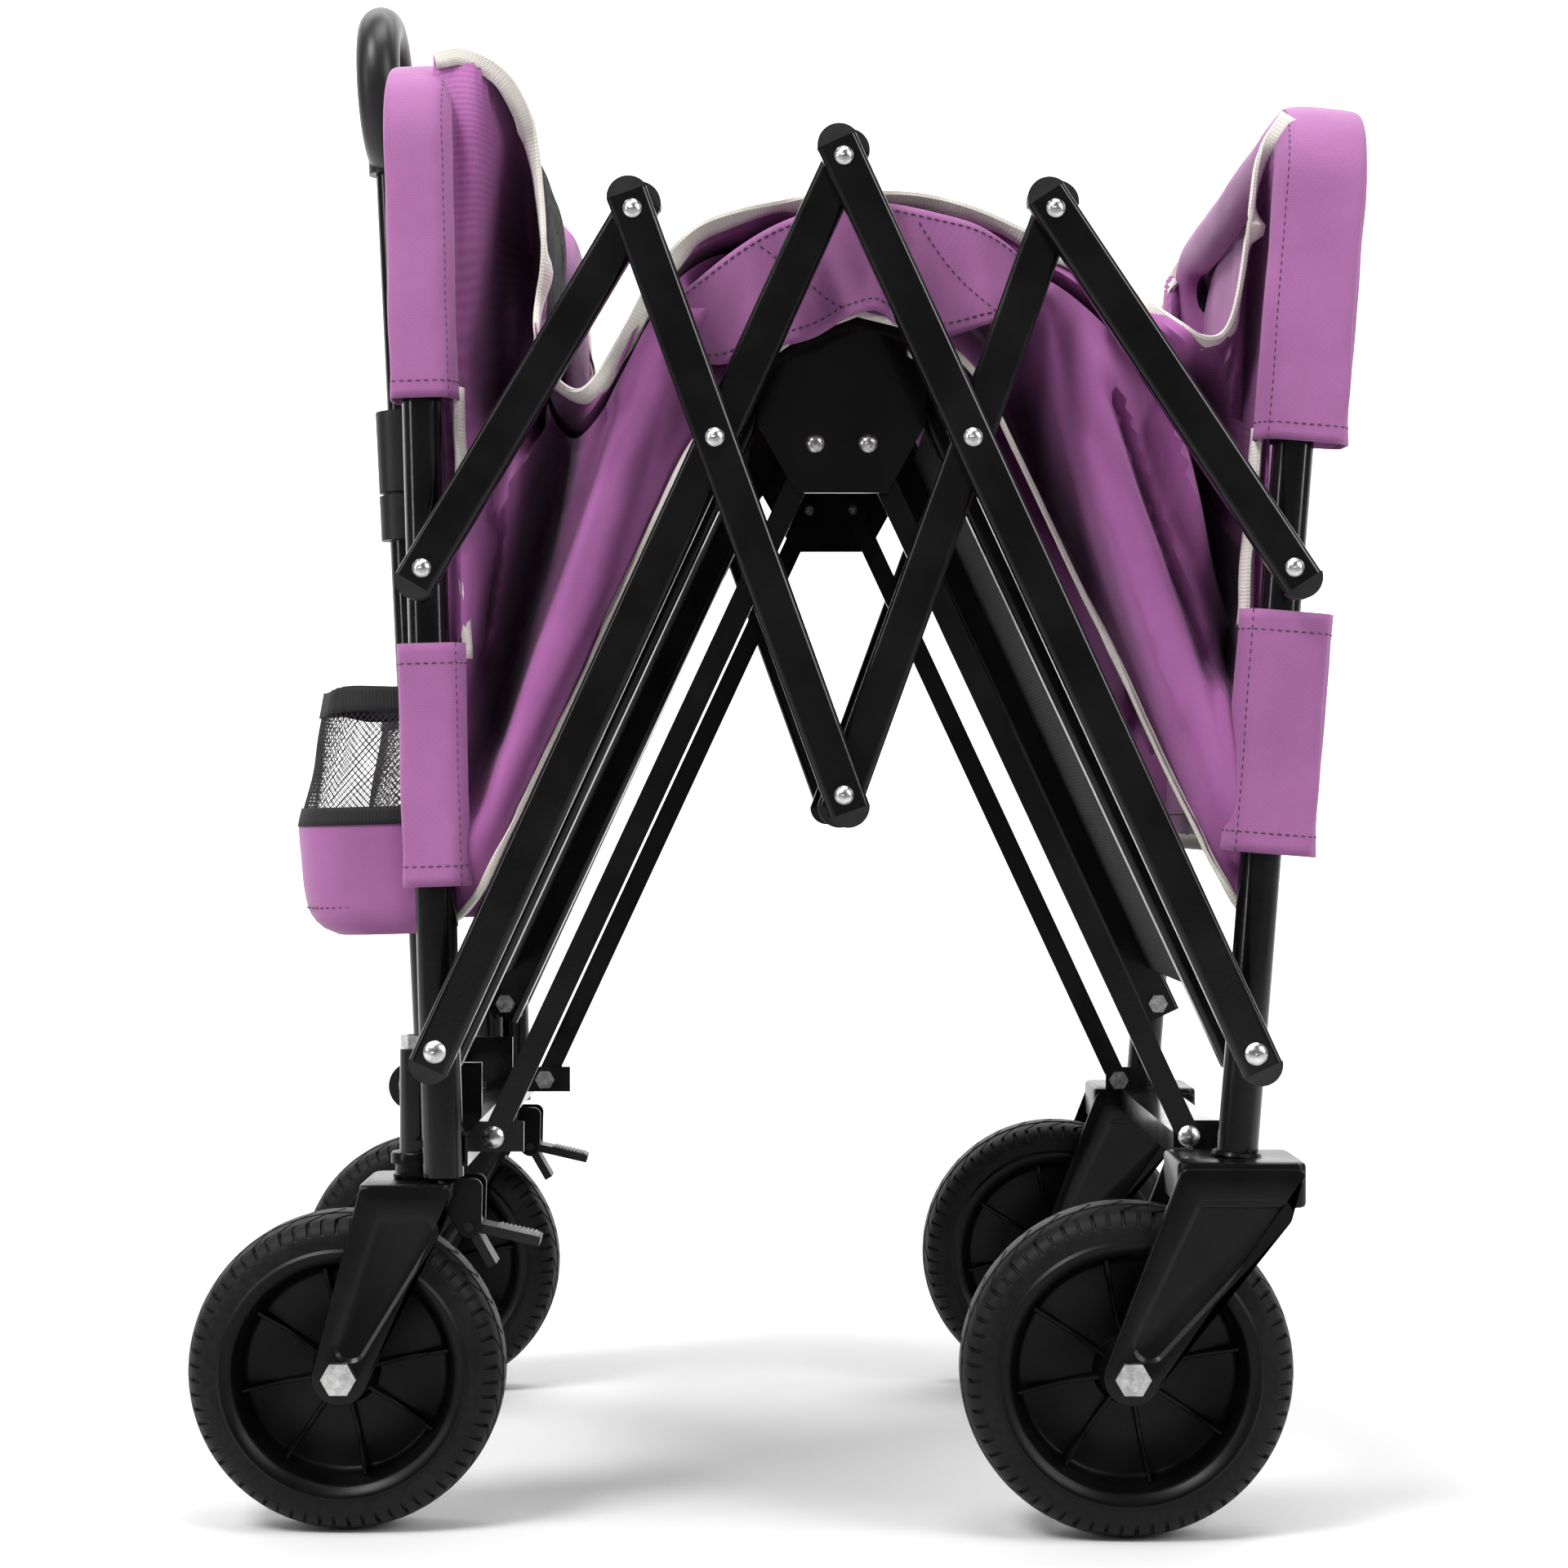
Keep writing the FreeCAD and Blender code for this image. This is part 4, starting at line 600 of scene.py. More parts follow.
def leg(name, body, axle, crown_x, half_top, top_z, y_face, out):
    """A pressed leg: an outline with a rolled edge and a stamped channel that faces outwards."""
    shift = crown_x - axle.x
    height = top_z - axle.z

    def loop(circles, y):
        return [Vector((axle.x + x, y, axle.z + z)) for x, z in hull_loop(circles)]

    def outline(inset):
        r = LEG_CORNER
        return (
            (0, 0, AXLE_BOSS - inset),
            (shift - half_top + r, height - r, r - inset),
            (shift + half_top - r, height - r, r - inset),
        )

    def channel(inset):
        lean = shift * 0.16
        return (
            (lean, CHANNEL_FOOT, 9 * MM - inset),
            (shift - half_top + CHANNEL_SIDE, height - CHANNEL_DROP, 7 * MM - inset),
            (shift + half_top - CHANNEL_SIDE, height - CHANNEL_DROP, 7 * MM - inset),
        )

    face, back = y_face, y_face - out * LEG_DEPTH
    loops = [
        loop(outline(0.6 * MM), back),
        loop(outline(0), back + out * 0.6 * MM),
        loop(outline(0), face - out * 1.2 * MM),
        loop(outline(0.4 * MM), face - out * 0.4 * MM),
        loop(outline(1.3 * MM), face),
        loop(channel(-1.2 * MM), face),
        loop(channel(0), face - out * 0.5 * MM),
        loop(channel(1.6 * MM), face - out * 2.2 * MM),
        loop(channel(2.6 * MM), face - out * 2.6 * MM),
    ]
    skin(name, loops, body)


def fork_legs(name, body, axle, crown_x, half_top, top_z, half_gap):
    """A fork's two legs, either side of its wheel."""
    for index, out in enumerate((-1, 1)):
        leg(f"{name}_{index}", body, axle, crown_x, half_top, top_z, axle.y + out * half_gap, out)


def rounded_block(name, body, low, high, corner, edge):
    """A block with round upright corners and rolled upper and lower edges."""
    middle = (Vector(low) + Vector(high)) / 2
    half = (Vector(high) - Vector(low)) / 2

    def ring(inset, z):
        r = max(corner - inset, 0.2 * MM)
        points = []
        for k in range(BLOCK_STEPS):
            a = TAU * (k + 0.5) / BLOCK_STEPS
            x = math.copysign(half.x - inset - r, math.cos(a)) + r * math.cos(a)
            y = math.copysign(half.y - inset - r, math.sin(a)) + r * math.sin(a)
            points.append(Vector((middle.x + x, middle.y + y, z)))
        return points

    rolled = ((edge, 0), (edge * 0.3, edge * 0.3), (0, edge))
    rings = [ring(inset, low[2] + rise) for inset, rise in rolled]
    rings += [ring(inset, high[2] - rise) for inset, rise in reversed(rolled)]
    return skin(name, rings, body)


def weld_bead(name, body, centre, axis, radius, thickness):
    """A rippled bead of weld round a tube."""
    side = axis.orthogonal().normalized()
    up = axis.cross(side).normalized()
    rows = []
    for k in range(BEAD_SIDES + 1):
        b = TAU * k / BEAD_SIDES
        ring = []
        for j in range(BEAD_STEPS):
            a = TAU * j / BEAD_STEPS
            ripple = 1 + 0.28 * noise.noise(Vector((math.cos(a) * 4, math.sin(a) * 4, radius * 90 + k)))
            out = side * math.cos(a) + up * math.sin(a)
            reach = radius + thickness * ripple * math.cos(b)
            ring.append(centre + out * reach + axis * thickness * ripple * math.sin(b))
        rows.append(ring)
    steel(name, *lattice(rows, closed=True), body)


def caster_fork(side):
    """Front fork: crown plate over two legs, the stem's bearing, and the brake's ears."""
    body = f"caster_{side}"
    axle = PIVOTS[f"front_wheel_spin_{side}"]
    stem = PIVOTS[f"caster_swivel_{side}"]
    crown_x = stem.x - 3 * MM
    y = stem.y
    low = (crown_x - FRONT_CROWN_HALF, y - FORK_HALF, FRONT_CROWN_TOP - 5 * MM)
    high = (crown_x + FRONT_CROWN_HALF, y + FORK_HALF, FRONT_CROWN_TOP)
    crown = rounded_block(f"caster_crown_{side}", body, low, high, 7 * MM, 1.6 * MM)
    top = FRONT_CROWN_TOP - 1 * MM
    fork_legs(f"caster_leg_{side}", body, axle, crown_x, FRONT_CROWN_HALF, top, FORK_HALF)
    rows = []
    for r, z in BEARING_PROFILE:
        rows.append(circle(Vector((stem.x, y, z * MM)), X_AXIS, Y_AXIS, r * MM, BEARING_STEPS))
    steel(f"caster_bearing_{side}", *lattice(rows, closed=True), body)
    pedal = PIVOTS[f"brake_pedal_{side}"]
    circles = [(pedal.x, pedal.z, 6.5 * MM)]
    circles += [(pedal.x + x * MM, EAR_FOOT, 5 * MM) for x in (-14, 2)]
    outline = hull_loop(circles)
    inner = hull_loop([(x, z, r - 0.5 * MM) for x, z, r in circles])
    for index, ear_y in enumerate((y - 13.2 * MM, y + 10.2 * MM)):
        plan = ((0, inner), (0.5 * MM, outline), (2.5 * MM, outline), (3 * MM, inner))
        loops = [[Vector((x, ear_y + deep, z)) for x, z in loop] for deep, loop in plan]
        skin(f"brake_ear_{side}_{index}", loops, body)
    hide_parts(f"caster_fork_{side}")


def rear_fork(side):
    """Fixed rear fork: a deep folded crown, welded to the frame tube, over two legs."""
    body = "rear_frame"
    axle = PIVOTS[f"rear_wheel_spin_{side}"]
    crown_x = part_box(f"rear_fork_{side}")[1].x - REAR_CROWN_HALF
    y = axle.y
    block_low = (crown_x - REAR_CROWN_HALF, y - FORK_HALF, REAR_CROWN_TOP - REAR_CROWN_DEPTH)
    block_high = (crown_x + REAR_CROWN_HALF, y + FORK_HALF, REAR_CROWN_TOP)
    crown = rounded_block(f"rear_crown_{side}", body, block_low, block_high, 6 * MM, 2.2 * MM)
    half_top, top = REAR_CROWN_HALF - 1 * MM, REAR_CROWN_TOP - 3 * MM
    fork_legs(f"rear_leg_{side}", body, axle, crown_x, half_top, top, FORK_HALF + 0.4 * MM)
    foot = Vector((crown_x + 1.5 * MM, y, REAR_CROWN_TOP + 0.6 * MM))
    weld_bead(f"rear_weld_{side}", body, foot, REAR_UP, 11.6 * MM, 2.2 * MM)
    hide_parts(f"rear_fork_{side}")


for side, _ in SIDES:
    caster_fork(side)
    rear_fork(side)


# ---- fabric ----

CLOTH_Y = 214 * MM
CLOTH_LIMIT = 230.5 * MM
CUT_HEIGHT = 440 * MM
RECESS = 24 * MM
PATH_STEPS = 7
LIP_ROWS = 6
TUCK_ROWS = 10
WEB_ROWS = 29
TUCK_DEPTH = 135 * MM
# Painted shade on the side cloth's tuck.
TUCK_SHADE = 0.3
CRUMPLE = 2.6 * MM
FINE_CRUMPLE = 0.7 * MM
TUCK_WAVE = 7 * MM
# Depth inside the cloth's plane over which the side cloth's painted crease shade builds up.
CREASE_SHADE_DEPTH = 56 * MM
FLOOR_ANGLE = math.radians(65.09)
FLOOR_LINE = Vector((math.cos(FLOOR_ANGLE), 0, math.sin(FLOOR_ANGLE)))
FRONT_NORMAL = Vector((-FLOOR_LINE.z, 0, FLOOR_LINE.x))
REAR_NORMAL = Vector((FLOOR_LINE.z, 0, FLOOR_LINE.x))


def at(x, z, y=0.0):
    """A point given in millimetres from the linkage's middle."""
    return Vector((MIDDLE + x * MM, y, z * MM))


def ridge(point, start, end, width, height):
    """The height at a point of a soft fold that runs from start to end. All are (x, z) in millimetres."""
    ax, az = start
    bx, bz = end
    length = math.hypot(bx - ax, bz - az)
    tx, tz = (bx - ax) / length, (bz - az) / length
    px, pz = (point.x - MIDDLE) / MM - ax, point.z / MM - az
    along = px * tx + pz * tz
    off = px * tz - pz * tx
    past = max(-along, along - length, 0.0)
    swell = 0.75 + 0.25 * math.sin(math.pi * min(max(along / length, 0.0), 1.0))
    return height * MM * swell * math.exp(-((off / width) ** 2) - (past / (1.6 * width)) ** 2)


# Points are (x, z) in millimetres from the linkage's middle. A column of the side cloth runs from a point on
# its bound top edge to one on its floor edge. A fold is its start, end, width and height. A link line is the
# line of the bar in front of the cloth, and the cloth above it is a lip.
FRONT_COLUMNS = (
    ((-221, 796), (-212, 326)), ((-205, 799), (-203, 332)), ((-183, 788), (-193, 345)),
    ((-169, 764), (-184, 364)), ((-165, 734), (-174, 385)), ((-162, 692), (-164, 407)),
    ((-166, 656), (-152, 433)), ((-160, 628), (-139, 460)), ((-141, 616), (-126, 489)),
    ((-121, 640), (-111, 520)), ((-103, 673), (-96, 552)), ((-82, 700), (-80, 584)),
    ((-56, 711), (-58, 614)), ((-22, 718), (-28, 640)), ((16, 721), (8, 655)),
)
REAR_COLUMNS = (
    ((6, 721), (8, 655)), ((40, 720), (44, 644)), ((72, 712), (72, 622)),
    ((102, 698), (93, 584)), ((132, 681), (112, 546)), ((161, 664), (131, 506)),
    ((181, 650), (149, 468)), ((197, 643), (165, 433)), ((210, 650), (179, 402)),
    ((217, 680), (191, 376)), ((221, 714), (202, 353)), ((226, 744), (211, 337)),
    ((238, 764), (219, 329)),
)
FRONT_FOLDS = (
    ((-92, 650), (-192, 372), 19, 44), ((-146, 622), (-202, 400), 12, -62),
    ((-200, 770), (-202, 560), 9, 14), ((-166, 772), (-182, 640), 17, -70),
    ((-146, 626), (-190, 615), 10, -44), ((-190, 674), (-162, 642), 6, 34),
    ((-174, 642), (-192, 590), 5, 22), ((-124, 600), (-186, 430), 6, -20),
    ((-206, 560), (-204, 400), 8, 26), ((-66, 600), (-166, 382), 8, -40),
    ((-88, 640), (-22, 705), 7, 20), ((-76, 676), (-36, 706), 5, -26),
    ((-60, 640), (-8, 700), 6, -20), ((-186, 540), (-206, 440), 4, -24),
    ((-176, 590), (-194, 480), 5, 20), ((-110, 640), (-150, 500), 4, 10),
)
REAR_FOLDS = (
    ((120, 660), (204, 392), 17, 42), ((95, 606), (184, 366), 12, -62),
    ((196, 630), (218, 470), 10, -60), ((158, 652), (200, 636), 8, 30),
    ((232, 742), (226, 612), 8, -34), ((146, 610), (196, 470), 5, -24),
    ((178, 600), (214, 490), 6, 28), ((60, 700), (110, 660), 7, 20),
    ((40, 690), (88, 640), 6, -22), ((214, 694), (206, 640), 6, -36),
    ((206, 450), (214, 370), 5, 20), ((132, 580), (178, 440), 5, 14),
    ((166, 640), (206, 560), 4, -20),
)
FRONT_LINK_LINE = ((-106, 716), (-228, 517))
REAR_LINK_LINE = ((122, 709), (249, 518))
HALVES = (
    ("front", FRONT_COLUMNS, FRONT_FOLDS, FRONT_LINK_LINE, FRONT_FOOT, FRONT_NORMAL),
    ("rear", REAR_COLUMNS, REAR_FOLDS, REAR_LINK_LINE, REAR_FOOT, REAR_NORMAL),
)


def soft_limit(value, limit, reach=14 * MM):
    """Values that near the limit flatten smoothly below it."""
    start = limit - reach
    return value if value < start else limit - reach * math.exp((start - value) / reach)


def side_rows(columns, folds, link, sign, anchor_first):
    """Rows of points of half a side: a lip, a tuck into the wagon, then the web down to the floor edge."""
    tops = smooth_path([at(*top) for top, _ in columns], PATH_STEPS)
    feet = smooth_path([at(*foot) for _, foot in columns], PATH_STEPS)
    (lx, lz), (mx, mz) = link
    slope = (mz - lz) / (mx - lx)
    table = []
    for index, (top, foot) in enumerate(zip(tops, feet)):
        chord = (foot - top).length
        middle_x = ((top.x + foot.x) / 2 - MIDDLE) / MM
        bar_z = (lz + (middle_x - lx) * slope) * MM
        turn = min(max((top.z - bar_z) / chord, 0.1), 0.52)
        spare = max(CUT_HEIGHT - chord, 0.0)
        depth = min(spare / 2, TUCK_DEPTH)
        column = []
        shares = [(turn * k / (LIP_ROWS - 1), 0.0) for k in range(LIP_ROWS)]
        plies = range(1, TUCK_ROWS // 2 + 1)
        shares += [(turn + 0.004 * k, depth * math.sin(math.pi / 2 * k / 5)) for k in plies]
        shares += [(turn + 0.02 + 0.008 * k, depth * math.sin(math.pi / 2 * (6 - k) / 6)) for k in plies]
        rest = turn + 0.07
        shares += [(rest + (1 - rest) * k / (WEB_ROWS - 1), 0.0) for k in range(WEB_ROWS)]
        held = index / (len(tops) - 1)
        held = held if anchor_first else 1 - held
        grip = min(held / 0.08, 1.0)
        for share, inward in shares:
            point = top.lerp(foot, share)
            swell = sum(ridge(point, *fold) for fold in folds)
            crumple = noise.noise(Vector((point.x * 34, point.z * 26, 3.7))) * CRUMPLE
            crumple += noise.noise(Vector((point.x * 95, point.z * 80, 9.1))) * FINE_CRUMPLE
            edge = min(share / 0.12, (1 - share) / 0.1, 1.0)
            hollow = RECESS * max(math.sin(math.pi * share), 0.0) ** 0.7 * grip
            out = (swell * (0.35 + 0.65 * max(edge, 0.0)) + crumple) * (0.15 + 0.85 * grip) - hollow
            out = soft_limit(CLOTH_Y + out, CLOTH_LIMIT) - inward * grip
            wave = noise.noise(Vector((point.x * 30, inward * 30, 1.3))) * TUCK_WAVE
            wave *= min(inward / (40 * MM), 1)
            column.append(Vector((point.x, sign * out, point.z - inward * 0.05 + wave)))
        table.append(column)
    return [list(row) for row in zip(*table)]


def binding(name, edge, inner, body=None, half=1.3 * MM, width=9 * MM):
    """A folded cream tape over a cloth edge: edge is the outer line, inner a line inside the cloth."""
    rows = [[] for _ in range(7)]
    for index, (point, deep) in enumerate(zip(edge, inner)):
        before, after = edge[max(index - 1, 0)], edge[min(index + 1, len(edge) - 1)]
        along = (after - before).normalized()
        down = deep - point
        down = (down - along * down.dot(along)).normalized()
        side = along.cross(down).normalized()
        ripple = 1 + 0.12 * noise.noise(point * 60)
        reach = width * ripple
        places = ((reach, half * 0.9), (reach * 0.5, half * 1.1), (0.2 * MM, half), (-0.9 * MM, 0.0))
        places += ((0.2 * MM, -half), (reach * 0.5, -half * 1.1), (reach, -half * 0.9))
        for row, (depth, aside) in zip(rows, places):
            row.append(point + down * depth + side * aside)
    uvs = [(length, k * width / 3) for k in range(len(rows)) for length in distances(edge)]
    return thicken(piece(name, *lattice(rows), TAPE, body, uvs, slot="purple_cloth"), 0.5 * MM)


def smoothed(points, turns=2):
    """A line with its small waves evened out."""
    for _ in range(turns):
        inner = [(a + 2 * b + c) / 4 for a, b, c in zip(points, points[1:], points[2:])]
        points = [points[0]] + inner + [points[-1]]
    return points


def side_half(side, sign, part, columns, folds, link, foot, normal):
    """One half of a side cloth with its tape and its piping."""
    rows = side_rows(columns, folds, link, sign, part == "front")
    obj = fabric(f"side_cloth_{part}_{side}_sewn", rows, PURPLE_SIDE_PAINTED_SHADE, None, 0.9 * MM)
    # Painted shade: the hollow attribute darkens the cloth the deeper it lies inside the cloth's plane, and by a
    # fixed share on the tuck.
    hollow = obj.data.attributes.new("hollow", "FLOAT", "POINT")
    across = len(rows[0])
    for index, vertex in enumerate(obj.data.vertices):
        sunk = (CLOTH_Y - abs(vertex.co.y)) / CREASE_SHADE_DEPTH
        tucked = LIP_ROWS <= index // across < LIP_ROWS + TUCK_ROWS
        hollow.data[index].value = TUCK_SHADE if tucked else min(max(sunk, 0.0), 0.9) ** 0.8
    tape = binding(f"side_tape_{part}_{side}", smoothed(rows[0]), rows[4])
    piping = binding(f"side_piping_{part}_{side}", rows[-1], rows[-5], None, 1.2 * MM, 3.2 * MM)
    for item in (obj, tape, piping):
        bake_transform(item)
    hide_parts(f"side_cloth_{side}")


for side, sign in SIDES:
    for half in HALVES:
        side_half(side, sign, *half)


# The skirt is a flap that hangs over the hub plate. Its darts run between columns of its mesh.
SKIRT_ROWS = 19
SKIRT_OUT = 6.5 * MM
SKIRT_DARTS = ((18, 34), (52, 66))
SKIRT_COLUMNS = (
    ((-88, 664), (-76, 628)), ((-74, 676), (-64, 627)), ((-56, 690), (-50, 632)),
    ((-36, 702), (-33, 637)), ((-14, 710), (-16, 641)), ((6, 714), (2, 651)),
    ((20, 714), (19, 656)), ((34, 712), (34, 645)), ((52, 708), (52, 641)),
    ((72, 702), (74, 647)), ((88, 692), (94, 652)), ((100, 680), (108, 656)),
)
SKIRT_FOLDS = (
    ((-20, 706), (2, 652), 7, 6), ((20, 708), (24, 655), 6, -7),
    ((38, 706), (36, 645), 6, 5), ((-52, 690), (-40, 634), 7, 5),
    ((-34, 700), (-28, 640), 5, -5), ((66, 704), (84, 648), 8, 5),
    ((96, 690), (100, 660), 5, -5),
)


def skirt(side, sign):
    """The flap over one hub plate, with its hem, its seam and two darts."""
    tops = smooth_path([at(*top) for top, _ in SKIRT_COLUMNS], PATH_STEPS)
    hems = smooth_path([at(*hem) for _, hem in SKIRT_COLUMNS], PATH_STEPS)
    table = []
    for top, hem in zip(tops, hems):
        column = []
        for k in range(SKIRT_ROWS):
            share = k / (SKIRT_ROWS - 1)
            point = top.lerp(hem, share)
            swell = sum(ridge(point, *fold) for fold in SKIRT_FOLDS)
            wave = noise.noise(Vector((point.x * 45, point.z * 40, 5.2))) * 1.6 * MM
            out = CLOTH_Y + SKIRT_OUT + (swell + wave) * share
            column.append(Vector((point.x, sign * min(out, CLOTH_LIMIT + 0.5 * MM), point.z)))
        table.append(column)
    rows = [list(row) for row in zip(*table)]
    cloth(f"hub_skirt_{side}", rows, "hub")
    outward = Y_AXIS * sign * 0.8 * MM
    for label, row in (("hem", rows[-3]), ("seam", rows[1])):
        stitches(f"hub_skirt_{label}_{side}", [point + outward for point in row], "hub")
    for index, (first, last) in enumerate(SKIRT_DARTS):
        line = [rows[2 + k][first + (last - first) * k // 14] + outward for k in range(15)]
        stitches(f"hub_skirt_dart_{side}_{index}", smoothed(line, 4), "hub")


for side, sign in SIDES:
    skirt(side, sign)


# ---- sleeves and end panels ----

FRONT_FRAME_TOP = 518 * MM
REAR_FRAME_TOP = 497 * MM
PANEL_BEND = 46 * MM
PANEL_REACH = 209 * MM
PANEL_DROP = 6 * MM
PANEL_ROWS = 56
PANEL_COLUMNS = 64
TAPE_STEPS = 25
SLEEVE_BEND = 38 * MM
SLEEVE_RISE = 4 * MM
# Half sections of the sleeves in millimetres, from the outer side of the frame to the seam inside it.
FRONT_SLEEVE = ((-16.0, 0), (-15.9, 6), (-15.2, 10.5), (-12.5, 13), (-5, 13.6))
FRONT_SLEEVE += ((5, 13.6), (11, 12.9), (15, 10), (18.4, 3))
REAR_SLEEVE = ((27.0, 0), (26.8, 6), (25.6, 10), (22, 12.6), (11, 13.4))
REAR_SLEEVE += ((-1, 13.6), (-10, 13), (-15.5, 10.6), (-20.5, 3))


def in_plane(foot, up, y, z):
    """A point of an end frame's plane at width y and height z along its uprights."""
    return Vector((foot.x, y, foot.z)) + up * z


def upright_path(low, high, steps):
    """Centre line of an upright in its frame's plane, as (y, z, outward normal), without its upper end."""
    return [(-FRAME_HALF_WIDTH, low + (high - low) * k / steps, (-1, 0)) for k in range(steps)]


def arch_path(top, low):
    """Centre line of a whole end frame from a height upwards, as (y, z, outward normal)."""
    straight = top - SLEEVE_BEND
    points = upright_path(low, straight, 30)
    for k in range(13):
        a = math.pi / 2 * k / 12
        y = SLEEVE_BEND * (1 - math.cos(a)) - FRAME_HALF_WIDTH
        points.append((y, straight + SLEEVE_BEND * math.sin(a), (-math.cos(a), math.sin(a))))
    mirrored = [(-y, z, (-ny, nz)) for y, z, (ny, nz) in reversed(points)]
    flat = FRAME_HALF_WIDTH - SLEEVE_BEND
    points += [(-flat + 2 * flat * k / 60, top, (0, 1)) for k in range(1, 60)]
    return points + mirrored


def sleeve(name, body, foot, up, profile, path, sign):
    """A tube of cloth round the frame, drawn to a seam on the side that faces into the wagon."""
    across = Vector((up.z, 0, -up.x))
    section = list(profile) + [(x, -y) for x, y in reversed(profile[1:])]
    rows, seam = [], []
    count = len(path)
    for index, (y, z, (ny, nz)) in enumerate(path):
        out = Y_AXIS * -sign * ny + up * nz
        centre = in_plane(foot, up, -sign * y, z)
        hem = max(0.0, 1 - min(index, count - 1 - index) / 3.0)
        ring = []
        for k, (sx, sy) in enumerate(section):
            place = Vector((sx * 21, sy * 17, index * 0.13 + foot.x * 50))
            puff = 1 + 0.05 * noise.noise(place) + 0.02 * hem
            ring.append(centre + across * sx * MM * puff + out * sy * MM * puff)
        rows.append(ring)
        seam.append(ring[len(profile) - 2] + out * 0.7 * MM)
    fine = []
    for ring in rows:
        loop = []
        around = len(ring)
        for j in range(around):
            corners = [ring[(j + step) % around] for step in (-1, 0, 1, 2)]
            loop += [between(*corners, k / 3) for k in range(3)]
        fine.append(loop + [loop[0].copy()])
    obj = fabric(name, fine, PURPLE, body, 1.1 * MM)
    pieces = [stitches(name + "_seam", seam, body)]
    for label, index in (("low", 2), ("high", len(fine) - 3)):
        ring = fine[index]
        middle = sum(ring, Vector()) / len(ring)
        line = [point + (point - middle).normalized() * 0.7 * MM for point in ring]
        pieces.append(stitches(f"{name}_{label}_hem", line, body))


def panel_rows(foot, up, low, top, facing):
    """Rows of points of the fabric wall inside an end frame, slack between its tubes."""
    across = Vector((up.z, 0, -up.x))
    rows = []
    for i in range(PANEL_ROWS + 1):
        z = low + (top - low) * i / PANEL_ROWS
        row = []
        for j in range(PANEL_COLUMNS + 1):
            share = j / PANEL_COLUMNS * 2 - 1
            reach = PANEL_REACH
            over = max(z - (top - PANEL_BEND + 4 * MM), 0.0)
            if over:
                reach -= PANEL_BEND - math.sqrt(max(PANEL_BEND**2 - over**2, 0.0))
            y = share * reach
            slack = (1 - share**2) * math.sin(math.pi * i / PANEL_ROWS)
            swell = 5 * MM * slack
            swell += 3.2 * MM * noise.noise(Vector((y * 9, z * 7, facing * 2.0)))
            swell += 1.6 * MM * noise.noise(Vector((y * 30, z * 14, facing * 5.0)))
            edge = min((1 - abs(share)) / 0.08, 1.0)
            row.append(in_plane(foot, up, y, z) + across * facing * swell * edge)
        rows.append(row)
    return rows


def end_cover(part, foot, up, profile, top, low, low_end, high, facing):
    """An end frame's cover: a panel with cream tapes, sleeves from low to low_end and one above high."""
    body = f"{part}_frame"
    top_edge = top - PANEL_DROP
    sleeve(f"{part}_sleeve_top", body, foot, up, profile, arch_path(top + SLEEVE_RISE, high), -1)
    upright = upright_path(low, low_end, 24) + [(-FRAME_HALF_WIDTH, low_end, (-1, 0))]
    for side, sign in SIDES:
        sleeve(f"{part}_sleeve_low_{side}", body, foot, up, profile, upright, sign)
    rows = panel_rows(foot, up, low, top_edge, facing)
    across = Vector((up.z, 0, -up.x))
    for index, line in enumerate((rows[3], rows[-10])):
        for face in (-1, 1):
            name = f"{part}_panel_stitch_{index}_{face + 1}"
            stitches(name, [p + across * face * 1.1 * MM for p in line], body)
    binding(f"{part}_panel_tape", rows[0], rows[3], body, 1.4 * MM, 8 * MM)
    for side, sign in SIDES:
        edge, deep = [], []
        for k in range(TAPE_STEPS + 1):
            z = low_end - 8 * MM + (high - low_end + 16 * MM) * k / TAPE_STEPS
            wave = 2.2 * MM * noise.noise(Vector((z * 40, sign * 3.0, facing)))
            inner = -facing * (17 * MM + wave)
            edge.append(in_plane(foot, up, sign * (215 * MM + wave), z) + across * inner)
            deep.append(in_plane(foot, up, sign * 207 * MM, z) + across * (inner - facing * 3 * MM))
        binding(f"{part}_edge_tape_{side}", edge, deep, body, 1.4 * MM, 9 * MM)
    wall = fabric(f"{part}_panel_sewn", rows, PURPLE, body, 1.4 * MM)
    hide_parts(f"{part}_cover")


front_heights = (87 * MM, 217 * MM, 348 * MM)
rear_heights = (105 * MM, 235 * MM, 326 * MM)
end_cover("front", FRONT_FOOT, FRONT_UP, FRONT_SLEEVE, FRONT_FRAME_TOP, *front_heights, -1)
end_cover("rear", REAR_FOOT, REAR_UP, REAR_SLEEVE, REAR_FRAME_TOP, *rear_heights, 1)


# ---- pockets on the front panel ----

FRONT_ACROSS = Vector((FRONT_UP.z, 0, -FRONT_UP.x))
POCKET_Y = 132 * MM
POCKET_FLOOR = 60.5 * MM
POCKET_DEPTH = 72 * MM
POCKET_BELLY = 8 * MM
POCKET_HALF_WIDTH = 55 * MM
POCKET_CORNER = 16 * MM
POCKET_WAIST = 60 * MM
POCKET_STEPS = 40


def pocket_outline(half_width, depth):
    """Half-oval plan of a pocket at a height: (out, y) pairs from one sewn edge to the other."""
    points = []
    for k in range(POCKET_STEPS + 1):
        a = math.pi * k / POCKET_STEPS
        y = -math.cos(a)
        y = math.copysign(abs(y) ** 0.62, y) * half_width
        out = math.sin(a) ** 0.42 * depth if 0 < k < POCKET_STEPS else 0.0
        points.append((out, y))
    return points


